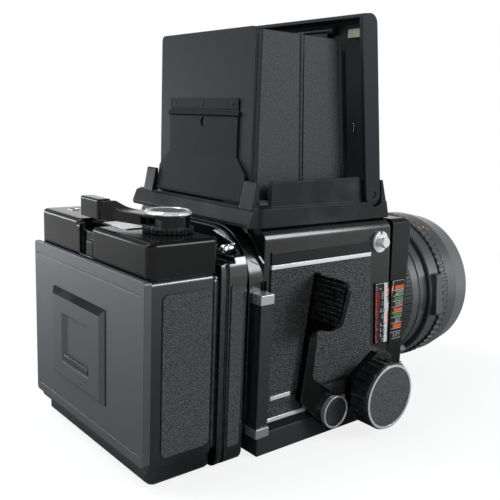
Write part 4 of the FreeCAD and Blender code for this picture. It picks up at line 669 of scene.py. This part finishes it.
def toward(start, end, y_edge, slope):
    # Where the line from start to end meets an edge that leans with the plate.
    (y0, z0), (y1, z1) = start, end
    share = (y_edge + (PLATE_TOP - z0) * slope - y0) / ((y1 - y0) + (z1 - z0) * slope)
    return y0 + (y1 - y0) * share, z0 + (z1 - z0) * share


def fan(color, on_front):
    # Bands that run from the corner of the moving plate down to the white line.
    shapes = []
    for band_color, high, low in FAN:
        if band_color != color:
            continue
        ends = [(leaning(STRIP_FRONT, z), z) for z in (high, low)]
        if on_front:
            rims = [toward(APEX, end, SCALE_REAR, SCALE_REAR_SLANT) for end in ends]
            shapes.append([APEX, rims[1], rims[0]])
        else:
            rims = [toward(APEX, end, INDEX_FRONT, INDEX_FRONT_SLANT) for end in ends]
            shapes.append([rims[0], rims[1], ends[1], ends[0]])
    return shapes


def index_print():
    red = []
    for text, z in RED_FIGURES:
        red += digits(text, leaning(RED_ROW, z), z, RED_HEIGHT, RED_WIDTH)
    white = fan("white", False)
    for text, z in WHITE_FIGURES:
        white += digits(text, leaning(WHITE_ROW, z), z, WHITE_HEIGHT, WHITE_WIDTH)
    strip_rear = [(leaning(STRIP_REAR, z), z) for z in (STRIP_FOOT, STRIP_TOP)]
    strip_front = [(leaning(STRIP_FRONT, z), z) for z in (STRIP_TOP, STRIP_FOOT)]
    white.append([strip_rear[1], *strip_front, strip_rear[0]])
    white += line([FRAME_CORNER, FRAME_FRONT], 0.16) + line([FRAME_CORNER, FRAME_FOOT], 0.12)
    ring = circle(*RING, 12)
    white += line(ring + ring[:1], RING_WIDTH)
    white.append(circle(*DOT, 8))
    printed("index_figures_red", "camera_body", "red", INDEX_X, red)
    printed("index_figures_white", "camera_body", "white", INDEX_X, white)
    printed("index_fan_orange", "camera_body", "orange", INDEX_X, fan("orange", False))
    printed("index_fan_green", "camera_body", "green", INDEX_X, fan("green", False))
    ticks = []
    for z in TICKS:
        ticks += line([(leaning(TICKS_REAR, z), z), (leaning(STRIP_FRONT, z), z)], TICK_WIDTH)
    printed("index_ticks", "camera_body", "black_ink", INDEX_X + INK, ticks)


def scale_print():
    colored = {color: fan(color, True) for color in ("orange", "green", "white")}
    white = colored["white"]
    for color, top, low, text in BARS:
        rear = BARS_REAR - (top - BARS_MIDDLE) * BARS_SLANT
        if text is None:
            colored[color].append([(rear, top), (BARS_FRONT, top), (BARS_FRONT, low), (rear, low)])
        else:
            middle = (rear + BARS_FRONT) / 2 + 0.2
            white += digits(text, middle, (top + low) / 2, BAR_HEIGHT, BAR_WIDTH)
        rule = low - RULE_DROP
        white += line([(rear - RULE_REACH, rule), (BARS_FRONT, rule)], RULE_WIDTH)
    for rear, z in FOOT_RULES:
        white += line([(rear, z), (BARS_FRONT, z)], 0.2)
    for text, y in FOOT_FIGURES:
        white += digits(text, y, FOOT_Z, FOOT_HEIGHT, FOOT_WIDTH)
    white += line(TOP_FRAME, 0.14) + line(TOP_TICK, 0.3)
    for color, shapes in colored.items():
        printed(f"scale_bars_{color}", "front", color, SCALE_X, shapes)


# Small pieces that sit on a CAD face. A start is the point outside from which a straight line
# finds the face, in millimetres; those of the support's screws share their y and z.

SUPPORT_SCREWS_X = (-23.2, 0.1, 23.4)
SUPPORT_SCREW_START = (-60, 158.5)
SUPPORT_SCREW_RADIUS = 0.8
POST_SCREW_START = (80, -33.0, 116.4)
POST_SCREW_RADIUS = 0.9
PAD_START, PIN_START = (36.5, 0, 195.0), (33.1, 0, 150.0)
COUNTER_START = (-38.5, -78.7, 130)

# Profiles of the counter window: radius and height above the seat
COUNTER_RIM = [(2.9, -0.1), (2.9, 0.25), (2.6, 0.4), (2.3, 0.4), (2.2, 0.1), (0.02, 0.1)]
COUNTER_LENS = [(2.2, 0.05), (2.2, 0.16), (0.02, 0.3)]

# A short white line on the right face of the body's flange
FLANGE_X = 52.0
FLANGE_MARK = [(-35.9, 94.2), (-33.6, 91.5)]
FLANGE_MARK_WIDTH = 0.8


def seat(node, start, way):
    # Where a straight line first meets a CAD node, in millimetres, and the face's normal there.
    found, place, normal, _ = NODES[node].ray_cast(Vector(start) * MM, Vector(way).normalized())
    if not found:
        raise ValueError(f"no face of {node} from {start}")
    return place / MM, normal


def turned_piece(name, body, look, place, normal, profile, count):
    # A turned piece: profile points are (radius, height above the seat).
    turn = Vector(normal).to_track_quat("Z", "Y").to_matrix()
    rings = [[Vector(place) + turn @ Vector((x, y, height)) for x, y in circle(0, 0, radius, count)]
             for radius, height in profile]
    points, faces = prism(rings)
    return piece(name, body, look, points, faces)


def screw(name, body, node, start, way, radius):
    # A low slotted head, its slot a flat matt black strip: painted shade standing in for the cut.
    place, normal = seat(node, start, way)
    profile = [(radius, 0), (radius, 0.15), (radius * 0.8, 0.32), (0.05, 0.36)]
    turned_piece(name, body, "satin", place, normal, profile, 20)
    turn = normal.to_track_quat("Z", "Y").to_matrix()
    half_long, half_wide = radius * 0.8, 0.12
    corners = ((-half_long, -half_wide), (half_long, -half_wide), (half_long, half_wide),
               (-half_long, half_wide))
    # The slot: a thin black strip as painted shade.
    slot_shade = [place + turn @ Vector((x, y, 0.35)) for x, y in corners]
    points, faces = patch(slot_shade, normal, 0.0, 0.03)
    piece(name + "_slot", body, "inner", points, faces)


def rectangle(low, high, y):
    # The corners of an upright rectangle between two (x, z) points.
    (x0, z0), (x1, z1) = low, high
    return [(x0, y, z0), (x1, y, z0), (x1, y, z1), (x0, y, z1)]


# The frame for a film box flap: its window, the widths of its bevels, the height of its upright
# edge and the thickness of its floor, in millimetres

WINDOW_LEFT, WINDOW_RIGHT, WINDOW_FOOT, WINDOW_TOP = -18.5, 7.5, 37.8, 60.4
WINDOW_RIM = 0.6
BEVEL_LEFT, BEVEL_RIGHT, BEVEL_FOOT, BEVEL_TOP = 1.5, 3.4, 1.5, 3.2
MEMO_EDGE = 0.35
MEMO_FLOOR = 0.2


def memo_frame():
    # Bevelled outside, widest at the top and the right, with a stepped window and a clip in it.
    low, high = (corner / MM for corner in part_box("memo_holder"))
    seat_y, front_y = high.y, low.y
    floor_y = seat_y - MEMO_FLOOR
    rings = [
        rectangle((low.x, low.z), (high.x, high.z), seat_y),
        rectangle((low.x, low.z), (high.x, high.z), seat_y - MEMO_EDGE),
        rectangle((low.x + BEVEL_LEFT, low.z + BEVEL_FOOT), (high.x - BEVEL_RIGHT, high.z - BEVEL_TOP),
                  front_y),
        rectangle((WINDOW_LEFT - WINDOW_RIM, WINDOW_FOOT - WINDOW_RIM),
                  (WINDOW_RIGHT + WINDOW_RIM, WINDOW_TOP + WINDOW_RIM), front_y),
        rectangle((WINDOW_LEFT + 3.0, WINDOW_FOOT + 0.4), (WINDOW_RIGHT - 0.4, WINDOW_TOP - 0.5),
                  floor_y),
    ]
    points, faces = prism(rings)
    frame_piece = piece("memo_frame", "door", "memo", points, faces)
    # The top and right bevels take the darker black: painted shade.
    frame_piece.data.materials.append(MATERIALS["bevel"])
    for polygon in frame_piece.data.polygons:
        shaded_top_bevel = polygon.center.z > (high.z - BEVEL_TOP) * MM and polygon.normal.z > 0.1
        if shaded_top_bevel or polygon.normal.x > 0.95:
            polygon.material_index = 1
    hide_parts("memo_holder")
    left, right = WINDOW_LEFT + 1.4, WINDOW_RIGHT - 0.6
    clip_low, clip_high = WINDOW_FOOT + 0.6, WINDOW_FOOT + 3.4
    section = [(floor_y, clip_low), (front_y + 0.15, clip_low), (front_y + 0.05, clip_low + 1.6),
               (front_y + 0.3, clip_high), (floor_y, clip_high)]
    points, faces = prism([[(x, y, z) for y, z in section] for x in (left, right)])
    piece("memo_clip", "door", "plastic", points, faces)
    spring = [rectangle((left, WINDOW_FOOT - 0.1), (right - 5, WINDOW_FOOT + 0.5), y)
              for y in (floor_y, floor_y - 0.5)]
    points, faces = prism(spring)
    piece("memo_spring", "door", "aluminium", points, faces)


# Bellows: number of folds, their depth, thickness across the fold and cut corners, in millimetres

BELLOWS_FOLDS = 10
BELLOWS_FOLD = 3.3
BELLOWS_WALL = 1.2
BELLOWS_CUT = 1.2


def bellows_ring(y, sunk):
    # One rectangle of the bellows with cut corners, sunk below the outer size.
    low, high = (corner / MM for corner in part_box("bellows"))
    half, foot, top, cut = high.x - sunk, low.z + sunk, high.z - sunk, BELLOWS_CUT
    section = [(-half + cut, foot), (half - cut, foot), (half, foot + cut), (half, top - cut),
               (half - cut, top), (-half + cut, top), (-half, top - cut), (-half, foot + cut)]
    return [(x, y, z) for x, z in section]


def bellows_cloth():
    # The folded cloth between body and front.
    low, high = (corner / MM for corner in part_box("bellows"))
    step = (high.y - low.y) / (2 * BELLOWS_FOLDS)
    outer = []
    inner = []
    for i in range(2 * BELLOWS_FOLDS + 1):
        sunk = BELLOWS_FOLD if i % 2 else 0.0
        outer.append(bellows_ring(low.y + i * step, sunk))
        inner.append(bellows_ring(low.y + i * step, sunk + BELLOWS_WALL))
    rings = outer + inner[::-1]
    points = [point for ring in rings for point in ring]
    faces = []
    for r in range(len(rings)):
        faces += band(len(rings[0]), r, (r + 1) % len(rings))
    cloth_piece = piece("bellows_folds", None, "cloth", points, faces)
    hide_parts("bellows")
    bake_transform(cloth_piece)


def lid_block(name, look, place, normal, x0, x1, half_height, height):
    # A small block on the lid's inner face, a little sunk into it.
    z0, z1 = place.z - half_height, place.z + half_height
    base = [Vector((x0, place.y, z0)), Vector((x1, place.y, z0)), Vector((x1, place.y, z1)),
            Vector((x0, place.y, z1))]
    points, faces = patch(base, normal, -0.3, height)
    piece(name, "lid", look, points, faces)


def lid_fittings():
    # A ribbed pad and a short pin on the inner face of the lid.
    place, normal = seat("finder_lid", PAD_START, (0, 1, 0))
    ribs, rib_pitch, rib_width, reach = 6, 1.5, 1.2, 4.3
    for i in range(ribs):
        x0 = place.x - reach + i * rib_pitch
        lid_block(f"lid_pad_rib_{i}", "cream", place, normal, x0, x0 + rib_width, 2, 1.4)
    place, normal = seat("finder_lid", PIN_START, (0, 1, 0))
    lid_block("lid_pin", "chrome", place, normal, place.x - 0.5, place.x + 0.5, 2.2, 0.8)


# Setting marks on the lens: name, node, body, ink, place and radius, in millimetres. The line that
# seats them starts at OUTSIDE_LENS from the lens axis.

LENS_MARKS = [
    ("depth_mark", "depth_ring", "depth", "orange", (22.2, 114.6, 92.3), 0.8),
    ("barrel_mark", "front_barrel", "front", "orange", (23.2, 121.5, 91.1), 0.9),
    ("barrel_index", "front_barrel", "front", "white", (21.7, 119.4, 91.9), 0.5),
]
OUTSIDE_LENS = 60


def lens_marks():
    # Each mark is seated from outside towards the lens axis.
    axis_z = centre("front_barrel", 2)[0] / MM
    for name, node, body, look, (x, y, z), radius in LENS_MARKS:
        out = Vector((x, 0, z - axis_z)).normalized()
        place, normal = seat(node, Vector((0, y, axis_z)) + out * OUTSIDE_LENS, -out)
        profile = [(radius, -0.1), (radius, 0.06), (0.02, 0.06)]
        turned_piece(name, body, look, place, normal, profile, 16)


def counter_window():
    # The frame counter's round window on the film back, with a bright rim.
    place, normal = seat("film_top", COUNTER_START, (0, 0, -1))
    turned_piece("counter_rim", "film_back", "chrome", place, normal, COUNTER_RIM, 40)
    turned_piece("counter_lens", "film_back", "plastic", place, normal, COUNTER_LENS, 40)


def small_pieces():
    # Screws in the hood's support and the finder's post, and a white mark on the body's flange.
    for i, x in enumerate(SUPPORT_SCREWS_X):
        screw(f"support_screw_{i}", "panel_back", "hood_support", (x, *SUPPORT_SCREW_START), (0, 1, 0),
              SUPPORT_SCREW_RADIUS)
    screw("post_screw", "camera_body", "finder_base", POST_SCREW_START, (-1, 0, 0),
          POST_SCREW_RADIUS)
    printed("flange_mark", "camera_body", "white", FLANGE_X, line(FLANGE_MARK, FLANGE_MARK_WIDTH))


index_print()
scale_print()
small_pieces()
memo_frame()
bellows_cloth()
lid_fittings()
lens_marks()
counter_window()


# Camera, as angles in degrees and its place in metres

AZIMUTH, ELEVATION, ROLL = 50.19, 10.83, 2.21
FOCAL_PIXELS = 689.3
FRAME_PIXELS = 500.0
SENSOR_WIDTH = 36.0
CAMERA_PLACE = Vector((0.272596, -0.225319, 0.152737))


def add_camera():
    a, e, r = (math.radians(v) for v in (AZIMUTH, ELEVATION, ROLL))
    back = Vector((math.sin(a) * math.cos(e), -math.cos(a) * math.cos(e), math.sin(e)))
    right = Vector((0, 0, 1)).cross(back).normalized()
    up = back.cross(right)
    across = right * math.cos(r) + up * math.sin(r)
    upward = up * math.cos(r) - right * math.sin(r)
    turn = Matrix((across, upward, back)).transposed().to_4x4()
    data = bpy.data.cameras.new("camera")
    data.sensor_width = SENSOR_WIDTH
    data.lens = FOCAL_PIXELS * SENSOR_WIDTH / FRAME_PIXELS
    data.clip_start = 0.01
    camera = bpy.data.objects.new("camera", data)
    camera.matrix_world = Matrix.Translation(CAMERA_PLACE) @ turn
    bpy.context.collection.objects.link(camera)
    bpy.context.scene.camera = camera


# Light. The backdrop is white up to one height of the sky and fades out to another.

SKY_LIGHT = 0.4
SKY_OVERHEAD = 0.3
BACKDROP_TOP, BACKDROP_END = 0.12, 0.5
FLOOR_COLOR = 0.22
FLOOR_GLOW = 0.82
FLOOR_WHITE_NEAR, FLOOR_WHITE_FAR = 0.08, 0.6
FLOOR_HALF = 3.0
LAMP_COLOR = (0.9, 0.96, 1.0)

# Lamps: name, place, target, size, watts
LAMPS = [
    ("key", (-0.35, -0.6, 1.3), (0, 0, 0.1), (0.55, 0.55), 10.0),
    ("left", (-0.75, -1.15, 0.75), (0, -0.05, 0.08), (0.5, 0.5), 9.0),
    ("left_low", (-1.2, -0.55, 0.12), (0, -0.08, 0.06), (0.5, 0.2), 3.0),
    ("right", (1.0, 0.8, 0.6), (0, 0.05, 0.08), (0.5, 0.5), 11.0),
]


def add_light(name, place, target, size, power):
    data = bpy.data.lights.new(name, "AREA")
    data.shape = "RECTANGLE"
    data.size, data.size_y = size
    data.energy = power
    data.color = LAMP_COLOR
    light = bpy.data.objects.new(name, data)
    light.location = place
    way = Vector(target) - Vector(place)
    light.rotation_euler = way.to_track_quat("-Z", "Y").to_euler()
    bpy.context.collection.objects.link(light)


def seen_by_gloss(m, share):
    # 1 for the camera, and a share for rays that gloss and glass send out.
    path = m.add("ShaderNodeLightPath").outputs
    shiny = m.both(m.math("MAXIMUM", path["Is Glossy Ray"], path["Is Transmission Ray"]), share)
    return m.math("MAXIMUM", path["Is Camera Ray"], shiny)


def add_world():
    # A white backdrop at eye level, which metal and glass show too, under a darker ceiling.
    world = bpy.data.worlds.new("studio")
    world.use_nodes = True
    bpy.context.scene.world = world
    m = ShaderTree(world.node_tree, "Generated")
    x, y, z = m.parts()
    seen = seen_by_gloss(m, m.ramp(z, BACKDROP_TOP, BACKDROP_END, 1.0, 0.0))
    light = m.ramp(z, 0.0, 0.9, SKY_LIGHT, SKY_OVERHEAD)
    sky = m.tree.nodes["Background"]
    sky.inputs["Color"].default_value = (1, 1, 1, 1)
    m.feed(sky.inputs["Strength"], m.ramp(seen, 0, 1, light, 1.0))


def add_floor():
    # A pale floor that keeps the object's shadow near it and runs out to the white of the backdrop.
    half = FLOOR_HALF
    corners = [(-half, -half, 0), (half, -half, 0), (half, half, 0), (-half, half, 0)]
    mesh = bpy.data.meshes.new("floor")
    mesh.from_pydata(corners, [], [(0, 1, 2, 3)])
    floor = bpy.data.objects.new("floor", mesh)
    bpy.context.collection.objects.link(floor)
    m = Recipe("pale_floor")
    grain = m.noise(900, 2)
    x, y, z = m.parts()
    away = m.ramp(m.distance(x, 0.0, y, 0.0), FLOOR_WHITE_NEAR, FLOOR_WHITE_FAR)
    seen = seen_by_gloss(m, away)
    fading = m.math("SUBTRACT", 1.0, m.both(away, seen))
    tone = m.both(m.ramp(grain, 0.3, 0.7, FLOOR_COLOR * 0.97, FLOOR_COLOR), fading)
    color = m.add("ShaderNodeCombineColor", {"Red": tone, "Green": tone, "Blue": tone})
    diffuse = m.add("ShaderNodeBsdfDiffuse", {"Color": color.outputs[0]})
    glow = m.both(seen, m.ramp(away, 0, 1, FLOOR_GLOW, 1.0))
    shining = m.add("ShaderNodeEmission", {"Strength": glow})
    both = m.add("ShaderNodeAddShader")
    m.feed(both.inputs[0], diffuse.outputs[0])
    m.feed(both.inputs[1], shining.outputs[0])
    m.feed(m.tree.nodes["Material Output"].inputs["Surface"], both.outputs[0])
    m.tree.nodes.remove(m.shader)
    mesh.materials.append(m.material)


add_camera()
add_world()
add_floor()
for lamp in LAMPS:
    add_light(*lamp)
bpy.context.scene.view_settings.view_transform = "Standard"
